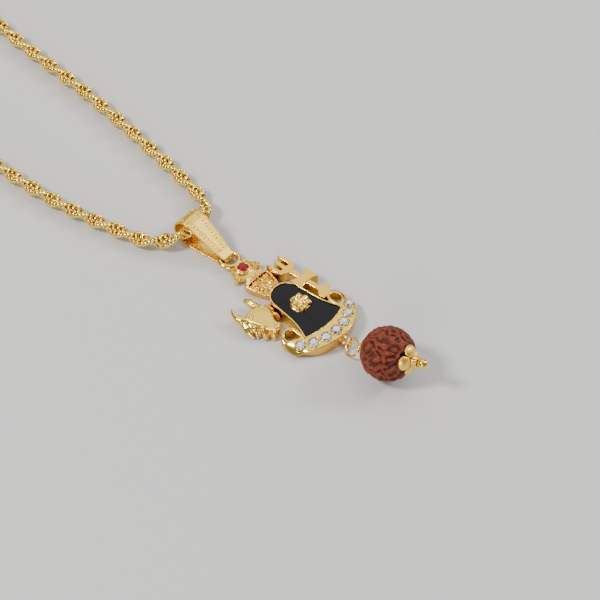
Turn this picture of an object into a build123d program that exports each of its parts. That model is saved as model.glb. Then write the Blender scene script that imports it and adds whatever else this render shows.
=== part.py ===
from build123d import *

# Trishul damru pendant on its rope chain, in millimetres.
# It lies face up: +Z comes out of its face, +Y runs to its ring, bail and chain, +X is the trishul side.
# The origin is on the flat back, under the middle of the black enamel dome.

import os
from math import asin, cos, pi, radians, sin, sqrt, tan

os.makedirs("parts", exist_ok=True)

# Clearances
seat_gap = 0.06  # between a stone, an inlay or a cap and its seat
link_gap = 0.12  # between parts that hang in each other

# Enamel dome and its rim
dome_arc_radius = 3.4
dome_shoulder_y = 2.7
dome_waist_half = 3.75
dome_waist_y = -1.0
dome_foot_half = 5.2
dome_foot_y = -6.2
rim_wall = 0.4
rim_height = 2.7
back_thickness = 0.8
enamel_depth = 0.22  # from the rim's top down to the enamel

# Crescent with its row of stones
crescent_half_width = 8.15
crescent_bottom_y = -11.5
crescent_outer_radius = 10.4
crescent_inner_y = -7.4
crescent_inner_radius = 11.45
crescent_height = 3.0
crescent_corner = 1.6  # radius of its outer corners in plan
crescent_crown_radius = 26.0  # the top face curves down to both ends
stone_count = 7
stone_row_radius = 9.45
stone_row_y = -9.75
stone_pitch = 15.3  # degrees along the row
stone_radius_middle = 1.02
stone_radius_end = 0.92
stone_table_share = 0.56
stone_crown_height = 0.34
stone_culet_share = 0.08
stone_girdle = 0.1
stone_pavilion_height = 0.95
stone_sink = 0.12  # of the girdle under the crescent's top face
stone_sides = 12
collet_wall = 0.14
collet_height = 0.22

# Side loops between the crescent's ends and the dome's foot
loop_x = 6.35
loop_y = -3.85
loop_hole_radius = 1.08
loop_wall = 0.65
loop_tail_x = 5.7
loop_tail_y = -5.25
loop_tail_radius = 0.3

# Emblem of bars and an upright eye on the enamel
emblem_x = 0.4
emblem_y = -0.3
emblem_width = 4.8
emblem_length = 4.0
emblem_bars = 4
emblem_bar_share = 0.72  # of the pitch between two bars
emblem_rounding = 1.6  # how much shorter the outer bars are than the middle ones
emblem_bow = 0.35  # how far a bar's middle stands below its ends
emblem_plate = 0.35
emblem_plate_share = 0.86
emblem_height = 0.9
eye_mark_width = 0.9
eye_mark_height = 1.1

# Hood above the dome
hood_foot_y = 5.6
hood_foot_half = 1.5
hood_half_width = 2.85
hood_widest_y = 10.1
hood_band_y = 11.7
hood_band_half = 2.35
hood_bend_along = 0.45  # share of the way up where the sides bend
hood_bend_out = 0.62  # share of the swell reached there
hood_height = 1.7
hood_lip = 0.45
hood_hollow_depth = 0.5

# Drum crown with the red stone
crown_waist_y = 12.1
crown_waist_half = 1.5
crown_tip_y = 13.45
crown_tip_half = 2.95
crown_neck_y = 15.8
crown_neck_half = 1.7
crown_height = 1.7
red_stone_y = 14.1
red_stone_radius = 1.02
red_stone_depth = 0.75
red_stone_dome = 0.42

# Ring and bail
ring_wire = 1.05
ring_sink = 0.63  # of the ring's outside into the crown's neck
bail_wall = 0.45
bail_length = 12.5
bail_height = 5.9
bail_top_width = 4.8
bail_foot_width = 2.3
bail_side_bow = 0.28
bail_edge_swell = 0.1  # how much wider each side of the bail is where it passes the ring's wire
bail_edge_gap = 0.08  # beside the bail in the ring's hole

# Trishul with its damru, on the +X side
trishul_height = 2.4
trishul_base_y = -2.9
trishul_length = 13.8
trishul_width = 4.3
trishul_x = 4.9
trishul_lean = 0.87  # how far the shaft's foot stands outside its head
shaft_width = 1.1
shaft_top_share = 0.7  # where the shaft runs into the prongs, along the trishul
shaft_foot_share = 0.04
damru_y = 3.35
damru_span = 4.3
damru_end_length = 3.3
damru_waist_length = 2.0
damru_end_bow = 0.12
damru_height = 2.65
foot_flare_y = -1.6
foot_flare_span = 4.0
foot_flare_length = 2.2

# Bull's head, on the -X side
head_x = -7.55
head_top_y = 5.8
head_bottom_y = -2.3
head_half_width = 2.85
head_height = 1.9
brow_rise = 1.15
muzzle_half_width = 1.15
muzzle_lean = 0.75  # towards the dome
muzzle_height = 2.5
muzzle_side_share = 0.6  # of its height, where its upright sides turn into the arched top
horn_foot_drop = 1.4  # below the top of the head
horn_length = 4.2
horn_spread = 2.95
horn_root = 0.95
horn_height = 1.75
ear_root_drop = 0.9  # below the top of the head
ear_drop = 4.3
ear_reach = 4.0
ear_width = 1.0
ear_thickness = 0.55
ear_height = 1.7

# Cast loop under the crescent, and the wire eye that hangs in it
cast_loop_wire = 0.6
cast_loop_radius = 1.2  # to the middle of its wire
cast_loop_sink = 0.55  # of the loop's wire into the crescent
eye_wire = 0.5
eye_radius = 1.75  # to the middle of its wire
eye_stem = 1.1
eye_turn = 15.0  # degrees in plan, away from -Y
eye_slope = 38.0  # degrees up to the bead
eye_roll = 30.0  # degrees that the eye leans out of the upright
eye_pass_angle = 36.0  # degrees round the eye to the place where it hangs
eye_pass_drop = 0.1
eye_pass_gap = 0.2  # between the two wires there

# Seed bead with its cap and stops
bead_diameter = 10.7
bead_turn = 7.5  # degrees in plan, away from -Y
bead_faces = 5
bead_groove_wire = 0.55
bead_groove_depth = 0.16
pin_gap = 0.15  # round the pin in the bead, the cap and the spacer
pin_reach = 0.35  # of the pin out of the bead, before it bends into the eye
cap_petals = 4
cap_petal_radius = 1.15
cap_petal_reach = 1.75
cap_wall = 0.35
spacer_diameter = 2.1
spacer_length = 1.25
spacer_coils = 3
stop_ball_diameter = 1.95

# Rope chain and clasp
chain_diameter = 3.05
chain_bend_share = 0.45  # of the shorter run beside a corner that its arc takes up
clasp_length = 11.0
clasp_width = 5.0
clasp_thickness = 3.0
clasp_edge = 0.8
clasp_lift = 0.06
clasp_gap = 0.25
clasp_y = 276.1
chain_route = [
    (-clasp_length / 2 - clasp_gap, clasp_y, 1.56),
    (-23.0, 271.0, 1.56),
    (-37.5, 249.5, 1.56),
    (-44.0, 219.0, 1.56),
    (-41.5, 183.0, 1.56),
    (-32.0, 149.0, 1.56),
    (-21.5, 118.5, 1.56),
    (-15.2, 91.5, 1.56),
    (-13.4, 68.5, 1.56),
    (-12.6, 52.5, 1.56),
    (-9.8, 39.5, 1.56),
    (-7.6, 30.9, 1.62),
    (-3.3, 27.55, 2.75),
    (3.1, 27.45, 2.75),
    (7.2, 30.6, 1.62),
    (8.8, 40.5, 1.56),
    (10.8, 55.5, 1.56),
    (12.2, 72.0, 1.56),
    (12.6, 91.5, 1.56),
    (17.0, 118.5, 1.56),
    (28.0, 149.0, 1.56),
    (39.0, 183.0, 1.56),
    (43.5, 219.0, 1.56),
    (37.5, 249.5, 1.56),
    (23.0, 271.0, 1.56),
    (clasp_length / 2 + clasp_gap, clasp_y, 1.56),
]

# Sizes that follow from those above
crescent_outer_y = crescent_bottom_y + crescent_outer_radius
crescent_center_y = crescent_inner_y + crescent_inner_radius
crescent_corner_y = crescent_outer_y - sqrt(crescent_outer_radius**2 - crescent_half_width**2)
crown_axis_z = crescent_height - crescent_crown_radius
stone_row_center_y = stone_row_y + stone_row_radius
enamel_top = rim_height - enamel_depth
bail_edge = bail_foot_width / 2 + bail_edge_swell
ring_hole_radius = bail_edge + bail_edge_gap
ring_mean_radius = ring_hole_radius + ring_wire / 2
ring_y = crown_neck_y - ring_sink + ring_hole_radius + ring_wire
ring_inside_y = ring_y + sqrt(ring_hole_radius**2 - bail_edge**2)
bail_foot_radius = ring_wire / 2 + link_gap + bail_wall
bail_top_radius = bail_height / 2
bail_foot_y = ring_inside_y - link_gap + bail_foot_radius - bail_wall
bail_top_y = bail_foot_y - bail_foot_radius + bail_length - bail_top_radius
ring_z = bail_foot_radius
bead_radius = bead_diameter / 2
pin_hole_radius = eye_wire / 2 + pin_gap
spacer_start = bead_radius + cap_wall + 2 * seat_gap  # from the bead's middle
mid_stone = (stone_count - 1) / 2
horn_foot_y = head_top_y - horn_foot_drop
ear_top_y = head_top_y - ear_root_drop
head_length = head_top_y - head_bottom_y
dome_tail = 2 * (dome_foot_y - crescent_inner_y) + rim_wall
hood_floor_y = dome_shoulder_y + dome_arc_radius + hood_lip
foot_share = (foot_flare_y - trishul_base_y) / trishul_length
damru_share = (damru_y - trishul_base_y) / trishul_length
cast_loop_y = crescent_bottom_y + cast_loop_sink - cast_loop_radius
cast_loop_z = cast_loop_radius + cast_loop_wire / 2

# The eye hangs in the cast loop, and the bead lies on the ground behind it
slope = radians(eye_slope)
turn = radians(eye_turn)
roll = radians(eye_roll)
eye_along = Vector(-sin(turn) * cos(slope), cos(turn) * cos(slope), -sin(slope))
eye_level = eye_along.cross(Vector(0, 0, 1)).normalized()
eye_across = eye_level * cos(roll) + eye_level.cross(eye_along) * sin(roll)
eye_pass_y = cast_loop_y - cast_loop_radius + (cast_loop_wire + eye_wire) / 2 + eye_pass_gap
eye_pass = Vector(0, eye_pass_y, cast_loop_z - eye_pass_drop)
pass_angle = radians(eye_pass_angle)
eye_center = eye_pass - (eye_along * cos(pass_angle) + eye_across * sin(pass_angle)) * eye_radius
pin_end = eye_center - eye_along * (eye_radius + eye_stem)
bead_slope = asin((bead_radius - pin_end.Z) / (bead_radius + pin_reach))
bead_heading = radians(bead_turn)
bead_axis = Vector(
    sin(bead_heading) * cos(bead_slope),
    -cos(bead_heading) * cos(bead_slope),
    sin(bead_slope),
)
bead_center = pin_end + bead_axis * (bead_radius + pin_reach)
bead_plane = Plane(origin=bead_center, x_dir=bead_axis.cross(Vector(0, 0, 1)), z_dir=bead_axis)


def crown_top(x):
    """Height of the crescent's curved top face at a distance from its middle."""
    return crown_axis_z + sqrt(crescent_crown_radius**2 - x**2)


def dome_outline(extra):
    """Closed dome outline, drawn past its foot by the given length, inside a BuildLine."""
    side = Line((dome_arc_radius, dome_shoulder_y), (dome_waist_half, dome_waist_y))
    flare = TangentArc((dome_waist_half, dome_waist_y), (dome_foot_half, dome_foot_y), tangent=side % 1)
    tail = Line(flare @ 1, flare @ 1 + flare % 1 * extra)
    Line(tail @ 1, (0, (tail @ 1).Y))
    ThreePointArc(
        (0, dome_shoulder_y + dome_arc_radius),
        (dome_arc_radius * sin(pi / 4), dome_shoulder_y + dome_arc_radius * cos(pi / 4)),
        (dome_arc_radius, dome_shoulder_y),
    )
    mirror(about=Plane.YZ)


def stone_radius(index):
    """Girdle radius of a stone of the row, smaller towards both ends."""
    share = abs(index - mid_stone) / mid_stone
    return stone_radius_middle + (stone_radius_end - stone_radius_middle) * share


def stone_plane(index):
    """Plane on the crescent's top face under a stone's middle, square to that face."""
    angle = radians((index - mid_stone) * stone_pitch)
    x = stone_row_radius * sin(angle)
    y = stone_row_center_y - stone_row_radius * cos(angle)
    tilt = asin(x / crescent_crown_radius)
    along = (cos(tilt), 0, -sin(tilt))
    outward = (sin(tilt), 0, cos(tilt))
    return Plane(origin=(x, y, crown_top(x)), x_dir=along, z_dir=outward)


def hood_outline():
    """Outline of the hood, inside a BuildLine."""
    bend_y = hood_foot_y + (hood_widest_y - hood_foot_y) * hood_bend_along
    bend_half = hood_foot_half + (hood_half_width - hood_foot_half) * hood_bend_out
    Line((0, hood_foot_y), (hood_foot_half, hood_foot_y))
    ThreePointArc((hood_foot_half, hood_foot_y), (bend_half, bend_y), (hood_half_width, hood_widest_y))
    Polyline(
        (hood_half_width, hood_widest_y),
        (hood_band_half, hood_band_y),
        (crown_waist_half, crown_waist_y),
        (0, crown_waist_y),
    )
    mirror(about=Plane.YZ)


def trishul_point(across, along):
    """Place on the trishul by shares: across its half width from the shaft's middle, along from its foot."""
    middle = trishul_x + trishul_lean * (1 - along)
    return (middle + across * trishul_width / 2, trishul_base_y + along * trishul_length)


# Prong edges, each an arc through three places, as shares for trishul_point
prong_arcs = [
    [(-0.82, 1.0), (-1.01, 0.862), (-0.94, 0.754)],
    [(-0.94, 0.754), (-0.7, 0.705), (-0.3, 0.676)],
    [(0.3, 0.676), (0.74, 0.732), (0.925, 0.819)],
    [(0.925, 0.819), (0.84, 0.92), (0.53, 1.0)],
    [(0.48, 0.812), (0.3, 0.779), (0.126, 0.804)],
    [(-0.31, 0.804), (-0.44, 0.779), (-0.57, 0.804)],
]
# Straight edges between those arcs
prong_lines = [
    [(-0.3, 0.676), (0.3, 0.676)],
    [(0.53, 1.0), (0.48, 0.812)],
    [(0.126, 0.804), (0.14, 0.93), (0.04, 0.989), (-0.2, 0.94), (-0.31, 0.804)],
    [(-0.57, 0.804), (-0.6, 0.93), (-0.82, 1.0)],
]
# Outline of the flared foot: shares of its half span and half length
foot_outline = [
    (-0.3, 1.0),
    (0.3, 0.95),
    (1.0, 0.8),
    (0.62, -0.1),
    (0.3, -0.9),
    (-0.62, -1.0),
    (-0.75, 0.1),
]
# Skull sections: share of the half width and half length, share of the brow's rise
skull_sections = [(1.0, 0.0), (0.9, 0.45), (0.66, 0.82), (0.2, 1.0)]
skull_foot_share = 0.36  # of the head's length, where the skull ends and the muzzle goes on
# Muzzle sections: share of the head's length from the bottom, share of its half width, share of its height
muzzle_sections = [(0.66, 2.2, 1.1), (0.42, 1.6, 1.06), (0.16, 1.05, 0.92), (0.0, 0.85, 0.6)]
# Horn sections: share of its spread sideways, share of its length, share of its root's width
horn_sections = [(0.62, 0.0, 1.0), (1.0, 0.42, 0.86), (0.93, 0.72, 0.6), (0.58, 1.0, 0.16)]
# Ear sections: share of its reach, share of its drop, share of its width, share of its height
ear_sections = [(0.5, 0.0, 0.55, 1.0), (0.78, 0.3, 1.0, 0.96), (0.95, 0.68, 0.78, 0.8), (1.0, 1.0, 0.15, 0.62)]


def planes_along(places):
    """Planes across a path through the given places, each square to the path there."""
    planes = []
    for index, place in enumerate(places):
        before = Vector(places[max(index - 1, 0)])
        after = Vector(places[min(index + 1, len(places) - 1)])
        heading = after - before
        level = Vector(heading.X, heading.Y, 0)
        planes.append(Plane(origin=place, x_dir=(0, 0, 1), z_dir=level))
    return planes


def horn_planes(side):
    """Planes of a horn's sections, along a curve that leans out and comes back in."""
    return planes_along(
        [
            (head_x + side * spread * horn_spread, horn_foot_y + along * horn_length, horn_height)
            for spread, along, _ in horn_sections
        ]
    )


def ear_planes(side):
    """Planes of an ear's sections, from its root down to its tip."""
    return planes_along(
        [
            (head_x + side * reach * ear_reach, ear_top_y - drop * ear_drop, height * ear_height)
            for reach, drop, _, height in ear_sections
        ]
    )


with BuildPart() as pendant_frame:
    # Crescent band and side loops, under one top face that curves down to both ends
    with BuildSketch():
        with Locations((0, crescent_outer_y)):
            Circle(crescent_outer_radius)
        with Locations((0, crescent_center_y)):
            Circle(crescent_inner_radius, mode=Mode.SUBTRACT)
        with Locations((0, crescent_bottom_y)):
            Rectangle(2 * crescent_half_width, 2 * (loop_y - crescent_bottom_y), mode=Mode.INTERSECT)
        for side in (-1, 1):
            corner = vertices().sort_by_distance((side * crescent_half_width, crescent_corner_y))[0]
            fillet(corner, radius=crescent_corner)
        with Locations((loop_x, loop_y), (-loop_x, loop_y)):
            Circle(loop_hole_radius + loop_wall)
        for side in (-1, 1):
            with BuildLine():
                Polyline(
                    (side * (loop_x - loop_hole_radius - loop_wall), loop_y),
                    (side * (loop_tail_x - loop_tail_radius - loop_wall), loop_tail_y - loop_wall),
                    (side * (loop_x + loop_hole_radius + loop_wall), loop_tail_y - loop_wall),
                    (side * (loop_x + loop_hole_radius + loop_wall), loop_y),
                    close=True,
                )
            make_face()
            with BuildSketch(mode=Mode.SUBTRACT):
                with Locations((side * loop_x, loop_y)):
                    Circle(loop_hole_radius)
                with Locations((side * loop_tail_x, loop_tail_y)):
                    Circle(loop_tail_radius)
                make_hull()
    extrude(amount=crescent_height)
    with BuildSketch(Plane.XZ.offset(-crescent_center_y)):
        with Locations((0, crown_axis_z)):
            Circle(crescent_crown_radius)
    extrude(amount=crescent_center_y - crescent_bottom_y + cast_loop_wire, mode=Mode.INTERSECT)

    # Dome: a flat back with a rim, its foot sunk into the crescent
    with BuildSketch():
        with BuildLine():
            dome_outline(dome_tail)
        make_face()
        with Locations((0, crescent_center_y)):
            Circle(crescent_inner_radius + rim_wall, mode=Mode.INTERSECT)
    extrude(amount=crown_top(dome_foot_half))
    with BuildSketch(Plane.XY.offset(back_thickness)):
        with BuildLine():
            dome_outline(dome_tail)
        make_face()
        with Locations((0, crescent_center_y)):
            Circle(crescent_inner_radius + rim_wall, mode=Mode.INTERSECT)
    extrude(amount=rim_height - back_thickness)

    # Hood above the dome, hollowed inside a raised lip
    with BuildSketch():
        with BuildLine():
            hood_outline()
        make_face()
    extrude(amount=hood_height)
    with BuildSketch(Plane.XY.offset(hood_height - hood_hollow_depth)):
        with BuildLine():
            hood_outline()
        make_face()
        offset(amount=-hood_lip)
        with BuildSketch(mode=Mode.INTERSECT):
            with Locations((0, (hood_floor_y + hood_band_y) / 2)):
                Rectangle(2 * hood_half_width, hood_band_y - hood_floor_y)
    extrude(amount=hood_hollow_depth, mode=Mode.SUBTRACT)

    # Drum crown with the red stone's collet, and the ring
    with BuildSketch():
        with BuildLine():
            Line((0, crown_waist_y), (crown_waist_half, crown_waist_y))
            TangentArc((crown_waist_half, crown_waist_y), (crown_tip_half, crown_tip_y), tangent=(0, 1))
            Polyline((crown_tip_half, crown_tip_y), (crown_neck_half, crown_neck_y), (0, crown_neck_y))
            mirror(about=Plane.YZ)
        make_face()
    extrude(amount=crown_height)
    with BuildSketch(Plane.XY.offset(crown_height)):
        with Locations((0, red_stone_y)):
            Circle(red_stone_radius + seat_gap + collet_wall)
    extrude(amount=collet_height)
    with Locations((0, ring_y, ring_z)):
        Torus(ring_mean_radius, ring_wire / 2)

    # Trishul: prongs, shaft, damru and flared foot
    with BuildSketch():
        with BuildLine():
            for arc in prong_arcs:
                ThreePointArc([trishul_point(*place) for place in arc])
            for line in prong_lines:
                Polyline([trishul_point(*place) for place in line])
        make_face()
        with BuildLine():
            head_end = trishul_point(0, shaft_top_share)
            foot_end = trishul_point(0, shaft_foot_share)
            Polyline(
                (head_end[0] - shaft_width / 2, head_end[1]),
                (foot_end[0] - shaft_width / 2, foot_end[1]),
                (foot_end[0] + shaft_width / 2, foot_end[1]),
                (head_end[0] + shaft_width / 2, head_end[1]),
                close=True,
            )
        make_face()
        with BuildLine(Plane((trishul_point(0, foot_share)[0], foot_flare_y, 0))):
            places = [(x * foot_flare_span / 2, y * foot_flare_length / 2) for x, y in foot_outline]
            Polyline(places, close=True)
        make_face()
    extrude(amount=trishul_height)
    with BuildSketch():
        with BuildLine(Plane((trishul_point(0, damru_share)[0], damru_y, 0))):
            half_span = damru_span / 2
            half_end = damru_end_length / 2
            half_waist = damru_waist_length / 2
            for side in (-1, 1):
                ThreePointArc((-half_span, side * half_end), (0, side * half_waist), (half_span, side * half_end))
                ThreePointArc(
                    (side * half_span, -half_end),
                    (side * (half_span + damru_end_bow), 0),
                    (side * half_span, half_end),
                )
        make_face()
    extrude(amount=damru_height)

    # Bull's head: skull, muzzle, horns and ears
    skull_half_length = head_length * (1 - skull_foot_share) / 2
    skull_y = head_top_y - skull_half_length
    with BuildSketch():
        with Locations((head_x, skull_y)):
            Ellipse(head_half_width, skull_half_length)
    extrude(amount=head_height)
    for share, rise in skull_sections:
        with BuildSketch(Plane.XY.offset(head_height + rise * brow_rise)):
            with Locations((head_x, skull_y)):
                Ellipse(head_half_width * share, skull_half_length * share)
    loft()
    for along, width, height in muzzle_sections:
        half = width * muzzle_half_width
        top = height * muzzle_height
        side_top = top * muzzle_side_share
        muzzle_x = head_x + muzzle_lean * (muzzle_sections[0][0] - along)
        muzzle_y = head_bottom_y + along * head_length
        with BuildSketch(Plane(origin=(muzzle_x, muzzle_y, 0), x_dir=(1, 0, 0), z_dir=(0, 1, 0))):
            with BuildLine():
                Polyline((-half, -side_top), (-half, 0), (half, 0), (half, -side_top))
                ThreePointArc((half, -side_top), (0, -top), (-half, -side_top))
            make_face()
    loft()
    for side in (-1, 1):
        for plane, (_, _, width) in zip(horn_planes(side), horn_sections):
            with BuildSketch(plane):
                Circle(width * horn_root)
        loft()
        for plane, (_, _, width, _) in zip(ear_planes(side), ear_sections):
            with BuildSketch(plane):
                Ellipse(ear_thickness * width, ear_width * width)
        loft()

    # Seats and collets of the stone row
    for index in range(stone_count):
        seat_radius = stone_radius(index) + seat_gap
        with BuildSketch(stone_plane(index).offset(-collet_height)):
            Circle(seat_radius + collet_wall)
        extrude(amount=2 * collet_height)
        with BuildSketch(stone_plane(index).offset(collet_height)):
            Circle(seat_radius)
        extrude(amount=-collet_height - stone_sink - stone_pavilion_height - seat_gap, mode=Mode.SUBTRACT)

    # Cast loop under the crescent
    with Locations((0, cast_loop_y, cast_loop_z)):
        Torus(cast_loop_radius, cast_loop_wire / 2, rotation=(0, 90, 0))

    # Seat of the red stone, and the pocket of the enamel
    with BuildSketch(Plane.XY.offset(crown_height + collet_height)):
        with Locations((0, red_stone_y)):
            Circle(red_stone_radius + seat_gap)
    extrude(amount=-red_stone_depth - seat_gap, mode=Mode.SUBTRACT)
    with BuildSketch(Plane.XY.offset(back_thickness)):
        with BuildLine():
            dome_outline(dome_tail)
        make_face()
        offset(amount=-rim_wall)
        with Locations((0, crescent_center_y)):
            Circle(crescent_inner_radius, mode=Mode.INTERSECT)
    extrude(amount=crescent_height, mode=Mode.SUBTRACT)

pendant_frame.part.label = "pendant_frame"
export_step(pendant_frame.part, "parts/pendant_frame.step")

with BuildPart() as enamel:
    with BuildSketch(Plane.XY.offset(back_thickness + seat_gap)):
        with BuildLine():
            dome_outline(dome_tail)
        make_face()
        offset(amount=-rim_wall - seat_gap)
        with Locations((0, crescent_center_y)):
            Circle(crescent_inner_radius - seat_gap, mode=Mode.INTERSECT)
    extrude(amount=enamel_top - back_thickness - seat_gap)
enamel.part.label = "enamel"
export_step(enamel.part, "parts/enamel.step")

emblem_plane = Plane(origin=(emblem_x, emblem_y, enamel_top + seat_gap))
with BuildPart() as tripund_emblem:
    # Plate, with an upright eye mark over it
    with BuildSketch(emblem_plane):
        Ellipse(emblem_width / 2 * emblem_plate_share, emblem_length / 2 * emblem_plate_share)
    extrude(amount=emblem_plate)
    with BuildSketch(emblem_plane):
        Ellipse(eye_mark_width / 2, emblem_length / 2)
    extrude(amount=eye_mark_height)
    # Bowed bars, each as long as the round outline leaves it
    bar_pitch = emblem_length / emblem_bars
    bar_half = bar_pitch * emblem_bar_share / 2
    for index in range(emblem_bars):
        bar_y = (index - (emblem_bars - 1) / 2) * bar_pitch
        bar_end = emblem_width / 2 * sqrt(1 - (bar_y / emblem_length * emblem_rounding) ** 2) - bar_half
        end_y = bar_y + emblem_bow / 2
        middle_y = bar_y - emblem_bow / 2
        with BuildSketch(emblem_plane):
            with BuildLine():
                for side in (-1, 1):
                    edge_y = end_y + side * bar_half
                    ThreePointArc((-bar_end, edge_y), (0, middle_y + side * bar_half), (bar_end, edge_y))
                    ThreePointArc(
                        (side * bar_end, end_y - bar_half),
                        (side * (bar_end + bar_half), end_y),
                        (side * bar_end, end_y + bar_half),
                    )
            make_face()
        extrude(amount=emblem_height)
tripund_emblem.part.label = "tripund_emblem"
export_step(tripund_emblem.part, "parts/tripund_emblem.step")

with BuildPart() as red_stone:
    # Cabochon: a short round foot under a low dome
    stone_foot = Vector(0, red_stone_y, crown_height + collet_height - red_stone_depth)
    with BuildSketch(Plane(origin=stone_foot, x_dir=(1, 0, 0), z_dir=(0, -1, 0))):
        with BuildLine():
            Polyline(
                (0, red_stone_depth + red_stone_dome),
                (0, 0),
                (red_stone_radius, 0),
                (red_stone_radius, red_stone_depth),
            )
            TangentArc(
                (0, red_stone_depth + red_stone_dome),
                (red_stone_radius, red_stone_depth),
                tangent=(1, 0),
            )
        make_face()
    revolve(axis=Axis(stone_foot, (0, 0, 1)))
red_stone.part.label = "red_stone"
export_step(red_stone.part, "parts/red_stone.step")

for index in range(stone_count):
    radius = stone_radius(index)
    girdle_plane = stone_plane(index).offset(-stone_sink)
    with BuildPart() as white_stone:
        # Round cut: girdle, crown facets up to the table, pavilion facets down to the culet
        with BuildSketch(girdle_plane):
            RegularPolygon(radius, stone_sides)
        extrude(amount=stone_girdle)
        with BuildSketch(girdle_plane.offset(stone_girdle)):
            RegularPolygon(radius, stone_sides)
        with BuildSketch(girdle_plane.offset(stone_girdle + stone_crown_height)):
            RegularPolygon(radius * stone_table_share, stone_sides)
        loft(ruled=True)
        with BuildSketch(girdle_plane):
            RegularPolygon(radius, stone_sides)
        with BuildSketch(girdle_plane.offset(-stone_pavilion_height)):
            RegularPolygon(radius * stone_culet_share, stone_sides)
        loft(ruled=True)
    name = f"white_stone_{index + 1}"
    white_stone.part.label = name
    export_step(white_stone.part, f"parts/{name}.step")

with BuildPart() as eye_pin:
    # Eye, stem and pin of one wire, with the stop ball at its end
    eye_normal = eye_along.cross(eye_across)
    with Locations(Plane(origin=eye_center, x_dir=eye_along, z_dir=eye_normal)):
        Torus(eye_radius, eye_wire / 2)
    with BuildSketch(Plane(origin=pin_end, z_dir=eye_along)):
        Circle(eye_wire / 2)
    extrude(amount=eye_stem)
    with Locations(pin_end):
        Sphere(eye_wire / 2)
    ball_middle = spacer_start + spacer_length + stop_ball_diameter / 2
    with BuildSketch(Plane(origin=pin_end, z_dir=bead_axis)):
        Circle(eye_wire / 2)
    extrude(amount=pin_reach + bead_radius + ball_middle)
    with Locations(bead_center + bead_axis * ball_middle):
        Sphere(stop_ball_diameter / 2)
eye_pin.part.label = "eye_pin"
export_step(eye_pin.part, "parts/eye_pin.step")

with BuildPart() as rudraksha_bead:
    # Round seed with a groove from pole to pole between each two faces, drilled through
    with Locations(bead_center):
        Sphere(bead_radius)
    for index in range(bead_faces):
        angle = 2 * pi * index / bead_faces
        outward = bead_plane.x_dir * cos(angle) + bead_plane.y_dir * sin(angle)
        with BuildSketch(Plane(origin=bead_center, x_dir=bead_axis, z_dir=outward)):
            with Locations((bead_radius + bead_groove_wire / 2 - bead_groove_depth, 0)):
                Circle(bead_groove_wire / 2)
        revolve(
            axis=Axis(bead_center, bead_axis.cross(outward)),
            revolution_arc=180,
            mode=Mode.SUBTRACT,
        )
    with BuildSketch(bead_plane):
        Circle(pin_hole_radius)
    extrude(amount=bead_radius, both=True, mode=Mode.SUBTRACT)
rudraksha_bead.part.label = "rudraksha_bead"
export_step(rudraksha_bead.part, "parts/rudraksha_bead.step")

with BuildPart() as bead_cap:
    # Petals cut from a thin cup that sits on the bead's lower pole
    with BuildSketch(bead_plane):
        with PolarLocations(cap_petal_reach, cap_petals):
            Circle(cap_petal_radius)
        Circle(cap_petal_reach)
        Circle(pin_hole_radius, mode=Mode.SUBTRACT)
    extrude(amount=bead_diameter)
    with Locations(bead_center):
        Sphere(bead_radius + seat_gap + cap_wall, mode=Mode.INTERSECT)
        Sphere(bead_radius + seat_gap, mode=Mode.SUBTRACT)
bead_cap.part.label = "bead_cap"
export_step(bead_cap.part, "parts/bead_cap.step")

with BuildPart() as coil_spacer:
    # Short sleeve with rounded coils round it
    coil_pitch = spacer_length / spacer_coils
    valley = spacer_diameter / 2 - coil_pitch / 2
    with BuildSketch(Plane(origin=bead_center, x_dir=bead_axis, z_dir=bead_plane.x_dir)):
        with BuildLine():
            for index in range(spacer_coils):
                start = spacer_start + index * coil_pitch
                ThreePointArc(
                    (start, valley),
                    (start + coil_pitch / 2, spacer_diameter / 2),
                    (start + coil_pitch, valley),
                )
            Polyline(
                (spacer_start, valley),
                (spacer_start, pin_hole_radius),
                (spacer_start + spacer_length, pin_hole_radius),
                (spacer_start + spacer_length, valley),
            )
        make_face()
    revolve(axis=Axis(bead_center, bead_axis))
coil_spacer.part.label = "coil_spacer"
export_step(coil_spacer.part, "parts/coil_spacer.step")

with BuildPart() as bail:
    # Folded strap: a drop-shaped loop from the side, tapered in plan down to the ring
    with BuildSketch(Plane.YZ):
        with Locations((bail_foot_y, bail_foot_radius)):
            Circle(bail_foot_radius)
        with Locations((bail_top_y, bail_top_radius)):
            Circle(bail_top_radius)
        make_hull()
        offset(amount=-bail_wall, mode=Mode.SUBTRACT)
    extrude(amount=bail_top_width, both=True)
    foot_end = bail_foot_y - bail_foot_radius
    top_end = foot_end + bail_length
    bow_half = (bail_foot_width + bail_top_width) / 4 + bail_side_bow
    with BuildSketch():
        with BuildLine():
            Line((0, foot_end), (bail_foot_width / 2, foot_end))
            ThreePointArc(
                (bail_foot_width / 2, foot_end),
                (bow_half, (foot_end + top_end) / 2),
                (bail_top_width / 2, top_end),
            )
            Line((bail_top_width / 2, top_end), (0, top_end))
            mirror(about=Plane.YZ)
        make_face()
    extrude(amount=bail_height, mode=Mode.INTERSECT)
bail.part.label = "bail"
export_step(bail.part, "parts/bail.step")

# Rope chain: one round section along straight runs joined by tangent arcs
chain_points = [Vector(*point) for point in chain_route]
chain_radii = []
for before, corner, after in zip(chain_points, chain_points[1:], chain_points[2:]):
    shorter = min((corner - before).length, (after - corner).length)
    half_turn = radians((corner - before).get_angle(after - corner)) / 2
    chain_radii.append(chain_bend_share * shorter / tan(half_turn))
print("chain arc radii:", [round(radius, 1) for radius in chain_radii])

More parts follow.
